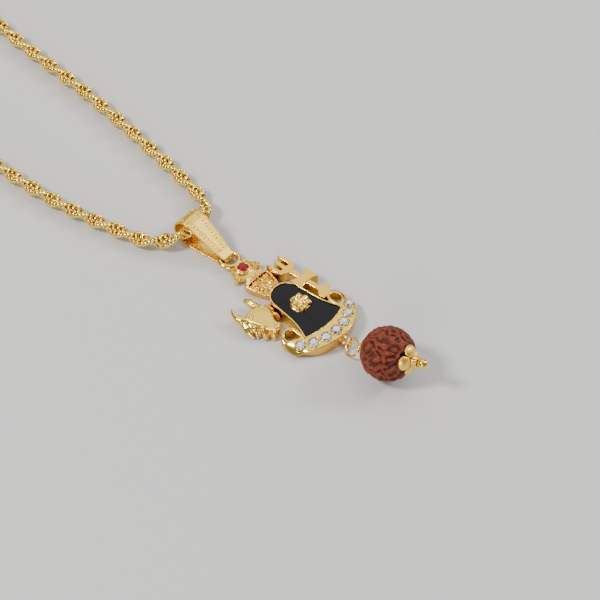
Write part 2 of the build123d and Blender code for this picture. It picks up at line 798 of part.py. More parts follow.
with BuildPart() as rope_chain:
    with BuildLine() as chain_path:
        FilletPolyline(chain_points, radius=chain_radii)
    with BuildSketch(Plane(origin=chain_path.line @ 0, z_dir=chain_path.line % 0)):
        Circle(chain_diameter / 2)
    sweep()
rope_chain.part.label = "rope_chain"
export_step(rope_chain.part, "parts/rope_chain.step")
chain_length = chain_path.wire().length
chain_section = pi / 4 * chain_diameter**2
print("chain length:", round(chain_length, 1))
print("chain volume over section times length:", rope_chain.part.volume / (chain_section * chain_length))

with BuildPart() as clasp:
    # Plain flat clasp at the far end of the chain
    with BuildSketch(Plane.XY.offset(clasp_lift)):
        with Locations((0, clasp_y)):
            SlotOverall(clasp_length, clasp_width)
    extrude(amount=clasp_thickness)
    fillet(edges().group_by(Axis.Z)[0] + edges().group_by(Axis.Z)[-1], radius=clasp_edge)
clasp.part.label = "clasp"
export_step(clasp.part, "parts/clasp.step")
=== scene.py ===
from math import acos, asin, atan2, cos, degrees, pi, radians, sin, sqrt
from random import Random

import bmesh
import bpy
from mathutils import Matrix, Vector, noise


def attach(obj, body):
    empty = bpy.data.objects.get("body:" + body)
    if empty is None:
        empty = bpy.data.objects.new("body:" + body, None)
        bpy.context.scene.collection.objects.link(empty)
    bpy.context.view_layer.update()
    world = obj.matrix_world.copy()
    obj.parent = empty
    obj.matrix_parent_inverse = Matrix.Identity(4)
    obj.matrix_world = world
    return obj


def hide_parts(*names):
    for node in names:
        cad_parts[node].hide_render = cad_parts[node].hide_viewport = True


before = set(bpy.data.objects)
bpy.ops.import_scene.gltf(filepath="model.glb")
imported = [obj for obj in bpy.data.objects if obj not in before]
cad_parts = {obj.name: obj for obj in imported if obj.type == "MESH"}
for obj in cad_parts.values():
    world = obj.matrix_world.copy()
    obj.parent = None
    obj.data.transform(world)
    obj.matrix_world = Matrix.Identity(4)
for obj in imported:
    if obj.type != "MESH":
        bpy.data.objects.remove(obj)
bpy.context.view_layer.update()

# Trishul damru pendant on its rope chain, lying face up.
# Shapes are made in millimetres, and settle() turns each finished mesh into metres.
MM = 0.001
sideways, lengthwise, upward = (1, 0, 0), (0, 1, 0), (0, 0, 1)
scene = bpy.context.scene


def placed(name, data):
    """New object in the scene with the given mesh, curve, light or camera."""
    obj = bpy.data.objects.new(name, data)
    scene.collection.objects.link(obj)
    return obj


# Camera at the photograph's viewing angle
camera_data = bpy.data.cameras.new("camera")
camera_data.lens = 194.4
camera_data.sensor_width = 36.0
camera_data.clip_start = 0.01
camera_data.clip_end = 20.0
camera = placed("camera", camera_data)
camera_target = Vector((2.45, 1.67, 0.0)) * MM
camera.location = Vector((-281.5, -257.6, 475.1)) * MM
camera.rotation_euler = (camera_target - camera.location).to_track_quat("-Z", "Y").to_euler()
scene.camera = camera

# Plain soft studio light
light_target = Vector((0, 20, 0)) * MM


def area_light(name, place, size, power, color=(1, 1, 1)):
    """Soft square light that faces the target, lengths in millimetres."""
    data = bpy.data.lights.new(name, "AREA")
    data.energy = power
    data.color = color
    data.size = size * MM
    light = placed(name, data)
    light.location = Vector(place) * MM
    light.rotation_euler = (light_target - light.location).to_track_quat("-Z", "Y").to_euler()


world = bpy.data.worlds.new("studio")
scene.world = world
world.use_nodes = True
world.node_tree.nodes["Background"].inputs["Color"].default_value = (0.88, 0.86, 0.82, 1)
world.node_tree.nodes["Background"].inputs["Strength"].default_value = 0.3
area_light("sky_panel", place=(600, 550, 1005), size=1400, power=7.5)
area_light("key_light", place=(-560, 380, 820), size=240, power=10.0, color=(1, 0.97, 0.93))
area_light("strap_panel", place=(600, -405, 1065), size=620, power=2.6)
area_light("fill_light", place=(-900, -500, 420), size=520, power=5.0)
area_light("rim_light", place=(760, -420, 520), size=220, power=5.0)

# Floor
half_floor = 2.5
floor_mesh = bpy.data.meshes.new("floor")
floor_corners = [(x * half_floor, y * half_floor, 0) for x, y in ((-1, -1), (1, -1), (1, 1), (-1, 1))]
floor_mesh.from_pydata(floor_corners, [], [(0, 1, 2, 3)])
floor_object = placed("floor", floor_mesh)


# Materials


def new_tree(name, kind, sockets):
    """Node group with named inputs; each socket is (name, type, default, in or out)."""
    tree = bpy.data.node_groups.new(name, kind)
    for label, socket_type, value, way in sockets:
        socket = tree.interface.new_socket(label, in_out=way, socket_type=socket_type)
        if value is not None:
            socket.default_value = value
    return tree, tree.nodes.new("NodeGroupInput"), tree.nodes.new("NodeGroupOutput")


def set_inputs(tree, node, values):
    """Give inputs of a node numbers, texts, colours or other nodes' outputs."""
    for label, value in values.items():
        socket = node.inputs[label]
        if isinstance(value, (int, float, str)):
            socket.default_value = value
        elif isinstance(value, tuple):
            socket.default_value = (*value, 1) if socket.type == "RGBA" else value
        else:
            tree.links.new(value, socket)


def add_node(tree, kind, values=(), **settings):
    """New node of a kind with its settings and the values of its inputs."""
    node = tree.nodes.new(kind)
    for label, value in settings.items():
        setattr(node, label, value)
    set_inputs(tree, node, dict(values))
    return node


def product(tree, a, b, clamp=False):
    """Product of two outputs or numbers."""
    return add_node(tree, "ShaderNodeMath", {0: a, 1: b}, operation="MULTIPLY", use_clamp=clamp).outputs[0]


def noise_node(tree, coordinates, scale, detail=2.0, roughness=0.5):
    """Noise over object coordinates, its scale in waves per millimetre."""
    values = {"Vector": coordinates, "Scale": scale, "Detail": detail, "Roughness": roughness}
    return add_node(tree, "ShaderNodeTexNoise", values).outputs[0]


def mix_color(tree, factor, a, b):
    """Mix of two colours or outputs."""
    return add_node(tree, "ShaderNodeMix", {0: factor, 6: a, 7: b}, data_type="RGBA").outputs[2]


def span(tree, value, low, high, to_low=0.0, to_high=1.0):
    """Smooth clamped map range."""
    values = {"Value": value, "From Min": low, "From Max": high, "To Min": to_low, "To Max": to_high}
    return add_node(tree, "ShaderNodeMapRange", values, interpolation_type="SMOOTHSTEP").outputs[0]


def millimetres(tree):
    """Object coordinates in millimetres."""
    coordinates = add_node(tree, "ShaderNodeTexCoord").outputs["Object"]
    values = {0: coordinates, "Scale": 1 / MM}
    return add_node(tree, "ShaderNodeVectorMath", values, operation="SCALE").outputs[0]


def attribute(tree, name):
    """Value of a mesh attribute."""
    return add_node(tree, "ShaderNodeAttribute", attribute_name=name).outputs["Fac"]


def vary_roughness(tree, shader, place, scale, smoothest, roughest, detail=2.0, high=0.8):
    """Roughness that wanders between two values over the surface."""
    wander = span(tree, noise_node(tree, place, scale, detail), 0.3, high, smoothest, roughest)
    set_inputs(tree, shader, {"Roughness": wander})


def add_bump(tree, shader, height, strength, distance):
    """Fine relief of the surface, its distance in millimetres."""
    values = {"Strength": strength, "Distance": distance * MM, "Height": height}
    set_inputs(tree, shader, {"Normal": add_node(tree, "ShaderNodeBump", values).outputs[0]})


# Plated metal: grain, painted shade (a darker amber colour) in the crevices and a worn variation of the
# polish
COLOR, FLOAT, VECTOR = "NodeSocketColor", "NodeSocketFloat", "NodeSocketVector"
plating, plating_in, plating_out = new_tree(
    "gold plating",
    "ShaderNodeTree",
    [
        ("Gold", COLOR, (1.0, 0.69, 0.13, 1), "INPUT"),
        ("Crevice", COLOR, (0.60, 0.25, 0.03, 1), "INPUT"),
        ("Crevice Reach", FLOAT, 0.0009, "INPUT"),
        ("Roughness", FLOAT, 0.2, "INPUT"),
        ("Grain Scale", FLOAT, 5.0, "INPUT"),
        ("Grain Height", FLOAT, 0.01, "INPUT"),
        ("Color", COLOR, None, "OUTPUT"),
        ("Roughness", FLOAT, None, "OUTPUT"),
        ("Normal", VECTOR, None, "OUTPUT"),
    ],
)
place = millimetres(plating)
reach = {"Distance": plating_in.outputs["Crevice Reach"]}
# Painted shade: the crevice colour goes where ambient occlusion finds the surface closed in
occlusion = add_node(plating, "ShaderNodeAmbientOcclusion", reach, samples=6)
open_share = span(plating, occlusion.outputs["AO"], 0.25, 0.8)
blotches = noise_node(plating, place, 0.9, 3.0)
warm_share = span(plating, blotches, 0.35, 0.7, 0.0, 0.22)
warm = mix_color(plating, warm_share, plating_in.outputs["Gold"], (0.93, 0.57, 0.10))
gold_with_painted_shade = mix_color(plating, open_share, plating_in.outputs["Crevice"], warm)
wear = span(plating, noise_node(plating, place, 2.6, 4.0), 0.3, 0.75, 0.75, 1.35)
worn = product(plating, plating_in.outputs["Roughness"], wear, clamp=True)
grain_relief = {
    "Strength": 1.0,
    "Distance": product(plating, plating_in.outputs["Grain Height"], MM),
    "Height": noise_node(plating, place, plating_in.outputs["Grain Scale"], 3.0, 0.6),
}
grained = add_node(plating, "ShaderNodeBump", grain_relief).outputs[0]
set_inputs(plating, plating_out, {"Color": gold_with_painted_shade, "Roughness": worn, "Normal": grained})


def cleared(name):
    """New material with an empty tree, its Principled shader linked to the output."""
    material = bpy.data.materials.new(name)
    material.use_nodes = True
    tree = material.node_tree
    tree.nodes.clear()
    shader = add_node(tree, "ShaderNodeBsdfPrincipled")
    add_node(tree, "ShaderNodeOutputMaterial", {0: shader.outputs[0]})
    return material, tree, shader


def gold_material(name, **values):
    """Gold-plated metal with the plating group's named values."""
    material, tree, shader = cleared(name)
    values = {label.replace("_", " "): value for label, value in values.items()}
    color, roughness, normal = add_node(tree, "ShaderNodeGroup", node_tree=plating, values=values).outputs
    look = {"Base Color": color, "Roughness": roughness, "Normal": normal, "Metallic": 1.0}
    set_inputs(tree, shader, look)
    material.diffuse_color = (0.84, 0.66, 0.33, 1)
    return material


# Every gold below takes the group's painted crevice shade; a crevice colour or reach given to a preset is
# painted shade too
gold_satin = gold_material("gold satin", Roughness=0.27, Grain_Height=0.012, Grain_Scale=9.0)
gold_matte = gold_material("gold matte", Roughness=0.36, Grain_Height=0.014, Grain_Scale=10.0)
gold_cast = gold_material("gold cast", Roughness=0.17, Grain_Height=0.02, Grain_Scale=2.4)
gold_bright = gold_material("gold bright", Roughness=0.12, Grain_Height=0.003, Grain_Scale=2.0)
# Painted shade: a darker amber copy of the gold for the walls that face sideways
gold_shaded_wall = gold_material("gold wall", Gold=(0.84, 0.49, 0.10), Roughness=0.2, Grain_Height=0.006)
gold_hammered = gold_material(
    "gold hammered", Gold=(1.0, 0.63, 0.08), Roughness=0.24, Grain_Height=0.14, Grain_Scale=1.7
)
# Painted shade: a darker, deeper amber copy of the gold for hollows, flutes and walls
gold_shaded_amber = gold_material(
    "gold amber", Gold=(0.92, 0.50, 0.06), Crevice=(0.50, 0.18, 0.01), Roughness=0.22, Grain_Height=0.03
)
gold_grain = gold_material(
    "gold grain", Crevice=(0.80, 0.50, 0.09), Roughness=0.18, Grain_Height=0.002, Grain_Scale=2.0
)
gold_strap = gold_material(
    "gold strap",
    Crevice=(0.80, 0.42, 0.05),
    Crevice_Reach=0.003,
    Roughness=0.27,
    Grain_Height=0.0006,
    Grain_Scale=4.0,
)
gold_chain = gold_material(
    "gold chain",
    Gold=(1.0, 0.74, 0.15),
    Crevice=(0.78, 0.42, 0.05),
    Crevice_Reach=0.0006,
    Roughness=0.16,
    Grain_Height=0.002,
)

enamel_material, tree, shader = cleared("black enamel")
place = millimetres(tree)
clouds = noise_node(tree, place, 0.35, 3.0)
inky = mix_color(tree, clouds, (0.006, 0.0055, 0.007), (0.011, 0.010, 0.013))
set_inputs(tree, shader, {"Base Color": inky, "Specular IOR Level": 0.16})
vary_roughness(tree, shader, place, 2.0, 0.05, 0.14, detail=4.0)
add_bump(tree, shader, noise_node(tree, place, 0.7, 2.0), strength=0.4, distance=0.002)

seed_material, tree, shader = cleared("rudraksha seed")
place = millimetres(tree)
raised = span(tree, attribute(tree, "height"), 0.15, 0.85)
fibre = noise_node(tree, place, 3.2, 5.0, 0.65)
ridge_color = mix_color(tree, span(tree, fibre, 0.3, 0.75), (0.14, 0.020, 0.006), (0.24, 0.042, 0.011))
seed_color = mix_color(tree, raised, (0.070, 0.010, 0.003), ridge_color)
set_inputs(tree, shader, {"Base Color": seed_color, "Specular IOR Level": 0.3})
vary_roughness(tree, shader, place, 1.5, 0.38, 0.62, detail=3.0, high=0.7)
add_bump(tree, shader, noise_node(tree, place, 6.0, 5.0, 0.6), strength=0.7, distance=0.06)

# Crown facets: painted reflections, some facets nearly black and others white, by a value stored on each
# facet
crystal_material, tree, shader = cleared("clear crystal")
place = millimetres(tree)
icy = mix_color(tree, noise_node(tree, place, 0.8), (0.93, 0.93, 1.0), (1.0, 1.0, 1.0))
painted_crown_glints = mix_color(tree, attribute(tree, "tone"), (0.05, 0.05, 0.06), icy)
set_inputs(tree, shader, {"Base Color": painted_crown_glints, "IOR": 1.62, "Transmission Weight": 0.3})
vary_roughness(tree, shader, place, 3.0, 0.0, 0.03)

# Foil facets: painted reflections, dark or silver by the same value stored on each facet
foil_material, tree, shader = cleared("stone foil")
place = millimetres(tree)
silver = mix_color(tree, noise_node(tree, place, 0.9), (0.88, 0.88, 0.92), (1.0, 1.0, 1.0))
painted_foil_glints = mix_color(tree, attribute(tree, "tone"), (0.16, 0.16, 0.19), silver)
# Painted shade: the foil dark next to the girdle and bright deeper down
deep_share = span(tree, attribute(tree, "depth"), 0.0, 0.75)
glint = mix_color(tree, deep_share, (0.22, 0.22, 0.25), painted_foil_glints)
set_inputs(tree, shader, {"Base Color": glint, "Metallic": 0.35})
vary_roughness(tree, shader, place, 4.0, 0.06, 0.16)

red_material, tree, shader = cleared("red crystal")
place = millimetres(tree)
crimson = mix_color(tree, noise_node(tree, place, 0.8, 3.0), (0.17, 0.001, 0.006), (0.30, 0.002, 0.014))
set_inputs(tree, shader, {"Base Color": crimson, "Specular IOR Level": 0.25, "IOR": 1.6})
vary_roughness(tree, shader, place, 2.0, 0.06, 0.14)

floor_material, tree, shader = cleared("floor")
set_inputs(tree, shader, {"Base Color": (0.60, 0.60, 0.60), "Roughness": 0.8})
floor_mesh.materials.append(floor_material)


# Mesh tools, all in millimetres


def link_mesh(name, verts, faces=(), edges=()):
    """Object with a mesh of the given places and of faces or edges."""
    mesh = bpy.data.meshes.new(name)
    mesh.from_pydata([tuple(vert) for vert in verts], list(edges), list(faces))
    mesh.update()
    return placed(name, mesh)


def object_from(name, body):
    """Mesh object out of a bmesh body, which is freed."""
    mesh = bpy.data.meshes.new(name)
    body.to_mesh(mesh)
    body.free()
    return placed(name, mesh)


def edited(obj, change):
    """Run a change on an object's mesh as a bmesh body."""
    body = bmesh.new()
    body.from_mesh(obj.data)
    change(body)
    body.to_mesh(obj.data)
    body.free()
    return obj


def smoothed(obj):
    """Smooth shading on all faces."""
    obj.data.polygons.foreach_set("use_smooth", [True] * len(obj.data.polygons))
    return obj


def face_outwards(body):
    """Turn all faces of a closed body outwards."""
    bmesh.ops.recalc_face_normals(body, faces=body.faces)
    if body.calc_volume(signed=True) < 0:
        bmesh.ops.reverse_faces(body, faces=body.faces)


def closed_mesh(name, verts, faces):
    """Smooth object with a closed mesh, its faces turned outwards."""
    return edited(smoothed(link_mesh(name, verts, faces)), face_outwards)


def bake(obj):
    """Turn an object with its modifiers into a plain mesh object of the same name."""
    bpy.context.view_layer.update()
    graph = bpy.context.evaluated_depsgraph_get()
    mesh = bpy.data.meshes.new_from_object(obj.evaluated_get(graph))
    name = obj.name
    bpy.data.objects.remove(obj)
    mesh.name = name
    return placed(name, mesh)


def joined(name, parts):
    """One mesh object out of several; the parts are removed."""
    whole = bmesh.new()
    for part in parts:
        whole.from_mesh(part.data)
        bpy.data.objects.remove(part)
    return object_from(name, whole)


def warp(obj, change):
    """Move each vertex of a mesh by a function of its place."""
    for vert in obj.data.vertices:
        vert.co = change(vert.co)
    obj.data.update()


def crisp(obj, angle=38.0):
    """Smooth shading that keeps flat faces flat and breaks at sharp edges."""
    smoothed(obj).data.set_sharp_from_angle(angle=radians(angle))
    modifier = obj.modifiers.new("weighted", "WEIGHTED_NORMAL")
    modifier.keep_sharp = True
    modifier.weight = 90
    return bake(obj)


def settle(obj, material, slot, *nodes):
    """Give a finished mesh its material, turn it into metres and let it ride and replace its node.

    Without a material, the mesh keeps the ones that it has.
    """
    if material:
        obj.data.materials.clear()
        obj.data.materials.append(material)
    obj.data.transform(Matrix.Scale(MM, 4))
    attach(obj, "root")
    if nodes:
        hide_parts(*nodes)


def settle_gold(obj, material, node="pendant_frame"):
    """Settle a gold-plated piece, one of the cast frame unless another node is named."""
    settle(obj, material, "gold_plate", node)


def painted(obj, materials, choose):
    """Give each face one of the materials, chosen by its middle and its normal."""
    for item in materials:
        obj.data.materials.append(item)
    for face in obj.data.polygons:
        face.material_index = choose(face.center, face.normal)
    return obj


def swept_faces(rows, size, closed=False, first=0):
    """Faces between the rows of a swept section, each row a ring of the same size."""
    faces = []
    for row in range(rows if closed else rows - 1):
        here, after = first + row * size, first + (row + 1) % rows * size
        for step in range(size):
            nxt = (step + 1) % size
            faces.append((here + step, here + nxt, after + nxt, after + step))
    return faces


def arc(center, radius, start, end, count):
    """Points on an arc in plan, from one angle to another in degrees."""
    points = []
    for index in range(count + 1):
        angle = radians(start + (end - start) * index / count)
        points.append((center[0] + radius * cos(angle), center[1] + radius * sin(angle)))
    return points


def arc_through(a, b, c, count=10):
    """Points on the arc from a through b to c, in plan."""
    ax, ay, bx, by, cx, cy = *a, *b, *c
    d = 2 * (ax * (by - cy) + bx * (cy - ay) + cx * (ay - by))
    a2, b2, c2 = ax * ax + ay * ay, bx * bx + by * by, cx * cx + cy * cy
    ux = (a2 * (by - cy) + b2 * (cy - ay) + c2 * (ay - by)) / d
    uy = (a2 * (cx - bx) + b2 * (ax - cx) + c2 * (bx - ax)) / d
    radius = sqrt((ax - ux) ** 2 + (ay - uy) ** 2)
    turns = [atan2(y - uy, x - ux) for x, y in (a, b, c)]
    step = (turns[2] - turns[0]) % (2 * pi)
    if (turns[1] - turns[0]) % (2 * pi) > step:
        step -= 2 * pi
    return [
        (ux + radius * cos(turns[0] + step * i / count), uy + radius * sin(turns[0] + step * i / count))
        for i in range(count + 1)
    ]


def rounded(corners, radius, steps=4):
    """Closed outline with each corner rounded; a corner may carry its own radius as a third number."""
    outline = []
    total = len(corners)
    for index, corner in enumerate(corners):
        here = Vector(corner[:2])
        before = Vector(corners[index - 1][:2])
        after = Vector(corners[(index + 1) % total][:2])
        size = corner[2] if len(corner) > 2 else radius
        to_before = before - here
        to_after = after - here
        size = min(size, to_before.length * 0.45, to_after.length * 0.45)
        if size < 0.01:
            outline.append(tuple(here))
            continue
        start = here + to_before.normalized() * size
        end = here + to_after.normalized() * size
        for step in range(steps + 1):
            t = step / steps
            outline.append(tuple(start * (1 - t) ** 2 + here * 2 * t * (1 - t) + end * t**2))
    return outline


def hull_outline(a, ra, b, rb, count=12):
    """Outline round two circles, counterclockwise, in plan."""
    a, b = Vector(a), Vector(b)
    away = b - a
    heading = atan2(away.y, away.x)
    lean = acos((ra - rb) / away.length)
    outline = []
    for center, radius, start, end in (
        (b, rb, heading - lean, heading + lean),
        (a, ra, heading + lean, heading + 2 * pi - lean),
    ):
        for index in range(count + 1):
            angle = start + (end - start) * index / count
            outline.append((center.x + radius * cos(angle), center.y + radius * sin(angle)))
    return outline


def mirrored(side):
    """The left side of an outline in plan, out of its right side and in reverse order."""
    return [(-x, y) for x, y in reversed(side)]


def leftward(path, index):
    """Direction to the left of an open path in plan, at one of its points."""
    before = path[max(index - 1, 0)]
    after = path[min(index + 1, len(path) - 1)]
    heading = Vector((after[0] - before[0], after[1] - before[1])).normalized()
    return -heading.y, heading.x


def offset_path(path, distance):
    """Open path in plan moved to its left by a distance."""
    moved = []
    for index, (x, y) in enumerate(path):
        left = leftward(path, index)
        moved.append((x + left[0] * distance, y + left[1] * distance))
    return moved


def signed_area(loop):
    """Twice the signed area of a closed outline."""
    return sum(x0 * y1 - x1 * y0 for (x0, y0), (x1, y1) in zip(loop, loop[1:] + loop[:1]))


def plate(name, outline, holes, low, high, bevel=0.12, steps=3):
    """Flat plate with rounded edges and holes, between two heights."""
    curve = bpy.data.curves.new(name, "CURVE")
    curve.dimensions = "2D"
    curve.fill_mode = "BOTH"
    curve.extrude = (high - low) / 2 - bevel
    curve.bevel_depth = bevel
    curve.bevel_resolution = steps
    curve.offset = -bevel
    for index, loop in enumerate([outline, *holes]):
        if (signed_area(loop) > 0) == (index > 0):
            loop = loop[::-1]
        spline = curve.splines.new("POLY")
        spline.points.add(len(loop) - 1)
        for point, (x, y) in zip(spline.points, loop):
            point.co = (x, y, 0, 1)
        spline.use_cyclic_u = True

    def close_and_lift(body):
        bmesh.ops.remove_doubles(body, verts=body.verts, dist=0.001)
        bmesh.ops.translate(body, verts=body.verts, vec=(0, 0, (low + high) / 2))
        face_outwards(body)

    return edited(bake(placed(name, curve)), close_and_lift)


def sliced(obj, axis, step):
    """Cut all faces by parallel planes so that the mesh can be bent smoothly."""
    normal = Vector((0, 0, 0))
    normal[axis] = 1

    def cut(body):
        along = [vert.co[axis] for vert in body.verts]
        place, end = min(along) + step, max(along)
        while place < end:
            everything = body.verts[:] + body.edges[:] + body.faces[:]
            bmesh.ops.bisect_plane(body, geom=everything, plane_co=normal * place, plane_no=normal)
            place += step

    edited(obj, cut)


def tube(name, path, radii, sides=12, closed=False, squash=1.0, up=None):
    """Round bar along a path of places; radii is a number or one number per place.

    A closed path needs a direction up, which the section is squashed along.
    """
    path = [Vector(p) for p in path]
    total = len(path)
    if isinstance(radii, (int, float)):
        radii = [radii] * total
    tangents = []
    for i in range(total):
        before = path[i - 1] if closed or i > 0 else path[i]
        after = path[(i + 1) % total] if closed or i < total - 1 else path[i]
        tangents.append((after - before).normalized())
    normal = Vector((0, 0, 1))
    if abs(normal.dot(tangents[0])) > 0.95:
        normal = Vector((1, 0, 0))
    verts = []
    for middle, tangent, radius in zip(path, tangents, radii):
        reference = Vector(up) if up else normal
        normal = (reference - tangent * reference.dot(tangent)).normalized()
        beside = tangent.cross(normal)
        for side in range(sides):
            angle = 2 * pi * side / sides
            verts.append(middle + normal * cos(angle) * radius * squash + beside * sin(angle) * radius)
    faces = swept_faces(total, sides, closed)
    if not closed:
        for i, direction in ((0, -1), (total - 1, 1)):
            verts.append(path[i] + tangents[i] * direction * radii[i] * 0.5)
            tip = len(verts) - 1
            for side in range(sides):
                nxt = (side + 1) % sides
                a, b = i * sides + side, i * sides + nxt
                faces.append((tip, a, b) if direction > 0 else (tip, b, a))
    return closed_mesh(name, verts, faces)


def ring(name, center, axis, radius, wire, around=48, sides=14):
    """Torus of round wire."""
    turn = Vector((0, 0, 1)).rotation_difference(Vector(axis))
    path = []
    for index in range(around):
        angle = 2 * pi * index / around
        path.append(Vector(center) + turn @ Vector((radius * cos(angle), radius * sin(angle), 0)))
    return tube(name, path, wire / 2, sides=sides, closed=True, up=turn @ Vector((0, 0, 1)))


def blob(center, half, turn=0.0, detail=4):
    """Ellipsoid turned in plan, its angle in degrees."""
    body = bmesh.new()
    bmesh.ops.create_icosphere(body, subdivisions=detail, radius=1.0)
    body.transform(Matrix.Diagonal((*half, 1)))
    body.transform(Matrix.Translation(center) @ Matrix.Rotation(radians(turn), 4, "Z"))
    return object_from("blob", body)


most_triangles = 140000  # of one cast body


def fused(name, parts, voxel, smooth, flat_below=0.0):
    """Cast one body out of overlapping closed parts, with soft joints and a flat back."""
    obj = joined(name, parts)
    remesh = obj.modifiers.new("voxels", "REMESH")
    remesh.mode = "VOXEL"
    remesh.voxel_size = voxel
    soften = obj.modifiers.new("soften", "SMOOTH")
    soften.factor = 0.5
    soften.iterations = smooth
    obj = bake(obj)
    for vert in obj.data.vertices:
        vert.co.z = max(vert.co.z, flat_below)
    triangles = 2 * len(obj.data.polygons)
    if triangles > most_triangles:
        thin = obj.modifiers.new("thin", "DECIMATE")
        thin.ratio = most_triangles / triangles
        obj = bake(obj)
    return smoothed(obj)


def carve(obj, change):
    """Move each vertex along its normal by a function of its place, outwards when positive."""
    vertices = obj.data.vertices
    normals = [vert.normal.copy() for vert in vertices]
    for vert, normal in zip(vertices, normals):
        vert.co = vert.co + normal * change(vert.co, normal)
        vert.co.z = max(vert.co.z, 0.0)
    obj.data.update()


def to_path(place, path):
    """Distance from a place to an open path."""
    nearest = 1000.0
    for start, end in zip(path, path[1:]):
        start, end = Vector(start), Vector(end)
        along = end - start
        share = min(1.0, max(0.0, (place - start).dot(along) / along.length_squared))
        nearest = min(nearest, (place - start - along * share).length)
    return nearest


def bowl(place, center, reach):
    """Soft round falloff from 1 at a centre to 0 at a reach."""
    share = min(1.0, (place - Vector(center)).length / reach)
    return (1 - share * share) ** 2


def eased(value, low, high):
    """Smooth step from 0 at one value to 1 at another."""
    share = min(1.0, max(0.0, (value - low) / (high - low)))
    return share * share * (3 - 2 * share)


# Crescent setting with its side loops, stones and collets
crescent_height = 3.0
crescent_center, crescent_radius = (0, -1.1), 10.42
inner_center, inner_radius = (0, 4.05), 11.45  # of its edge under the enamel
crown_radius = 26.0  # its top face curves down to both ends
loop_center, loop_outside, loop_hole_radius = (6.35, -3.85), 1.73, 1.05
loop_tail, loop_tail_radius = (5.72, -5.2), 0.34
stone_count, stone_pitch = 7, 15.3
stone_row_radius, stone_row_y = 9.45, -0.3
stone_radius, stone_taper = 1.05, 0.1  # in the middle, and how much smaller at the ends


def crown_top(x):
    """Height of the crescent's curved top face."""
    return crescent_height - crown_radius + sqrt(crown_radius**2 - x**2)


def crescent_reach(x, y):
    """Distance in plan from the middle of the crescent's outer arc."""
    return sqrt(x**2 + (y - crescent_center[1]) ** 2)


right_side = arc(crescent_center, crescent_radius, -90, -37.5, 26)
right_side += [(8.48, -6.95), (8.6, -6.3), (8.62, -5.6), (8.5, -4.7), (8.25, -3.95)]
right_side += arc(loop_center, loop_outside, 18, 185, 22)
right_side += [(4.68, -5.0), (4.75, -6.37)]
right_side += arc(inner_center, inner_radius, -65.5, -90, 14)[1:]
crescent_outline = right_side + mirrored(right_side)[1:-1]
loop_hole = hull_outline(loop_center, loop_hole_radius, loop_tail, loop_tail_radius)
stones = []
for index in range(stone_count):
    from_middle = index - (stone_count - 1) // 2
    angle = radians(from_middle * stone_pitch)
    x, y = stone_row_radius * sin(angle), stone_row_y - stone_row_radius * cos(angle)
    stones.append((x, y, stone_radius - stone_taper * abs(from_middle / 3), asin(x / crown_radius)))
seat_holes = [arc((x, y), radius + 0.02, 0, 360, 28)[:-1] for x, y, radius, _ in stones]
crescent = plate(
    "crescent_setting",
    crescent_outline,
    [loop_hole, [(-x, y) for x, y in loop_hole], *seat_holes],
    0.0,
    crescent_height,
    bevel=0.2,
)
for axis in (0, 1):
    sliced(crescent, axis, 0.35)


def ends_rounded(p):
    """Bend the crescent's top down towards both ends, and round the polished ends themselves."""
    reach = crescent_reach(p.x, p.y)
    end = eased(abs(p.x), 6.6, 9.2) * eased(-p.y, 2.6, 5.4)
    edge = eased(reach, 8.2, 10.8) * end
    outer = eased(reach, 9.2, 10.0) * eased(-p.y, 2.6, 3.6)
    draft = outer * (0.25 + 0.5 * eased(abs(p.x), 5.0, 8.8)) * max(0.0, 1 - p.z / 2.8)
    x = p.x - draft * p.x / reach
    y = p.y - draft * (p.y - crescent_center[1]) / reach
    return Vector((x, y, p.z * (crown_top(p.x) - 0.3 * end - 0.9 * edge) / crescent_height))


def crescent_finish(middle, normal):
    """Satin top, polished ends and outer edge, and walls in painted shade (a darker amber gold)."""
    x, y, _ = middle
    polished = crescent_reach(x, y) > 10.05 or abs(x) > 7.9 - 0.25 * (y + 6.5) * (y > -6.5)
    return 2 if normal.z < 0.3 else 1 if polished or normal.z < 0.9 else 0


warp(crescent, ends_rounded)
crescent = fused("crescent_setting", [crescent], voxel=0.075, smooth=8)
settle_gold(painted(crescent, (gold_satin, gold_bright, gold_shaded_wall), crescent_finish), None)

edge_path = [(x, y, crown_top(x) - 0.05) for x, y in arc(crescent_center, 10.24, -128, -52, 60)]
edge_radii = [0.05] + [0.13] * (len(edge_path) - 2) + [0.05]
settle_gold(tube("crescent_edge", edge_path, edge_radii, sides=10), gold_bright)

collets = []
for x, y, radius, tilt in stones:
    up = Vector((sin(tilt), 0, cos(tilt)))
    top = Vector((x, y, crown_top(x)))
    collets.append(ring("collet", top + up * 0.03, up, radius + 0.09, 0.15, around=32, sides=8))
settle_gold(joined("stone_collets", collets), gold_bright)

# Brilliant cut in shares of the stone's radius: table, kites over the girdle, mains down to the culet
table_reach, table_height = 0.56, 0.44
kite_reach, kite_height = 0.80, 0.30
girdle_height = 0.06
main_reach, main_depth, culet_depth = 0.42, 0.52, 0.88
# Painted reflections: how bright the facets are in turn round the stone
painted_facet_glints = (1.0, 0.0, 0.95, 0.3)

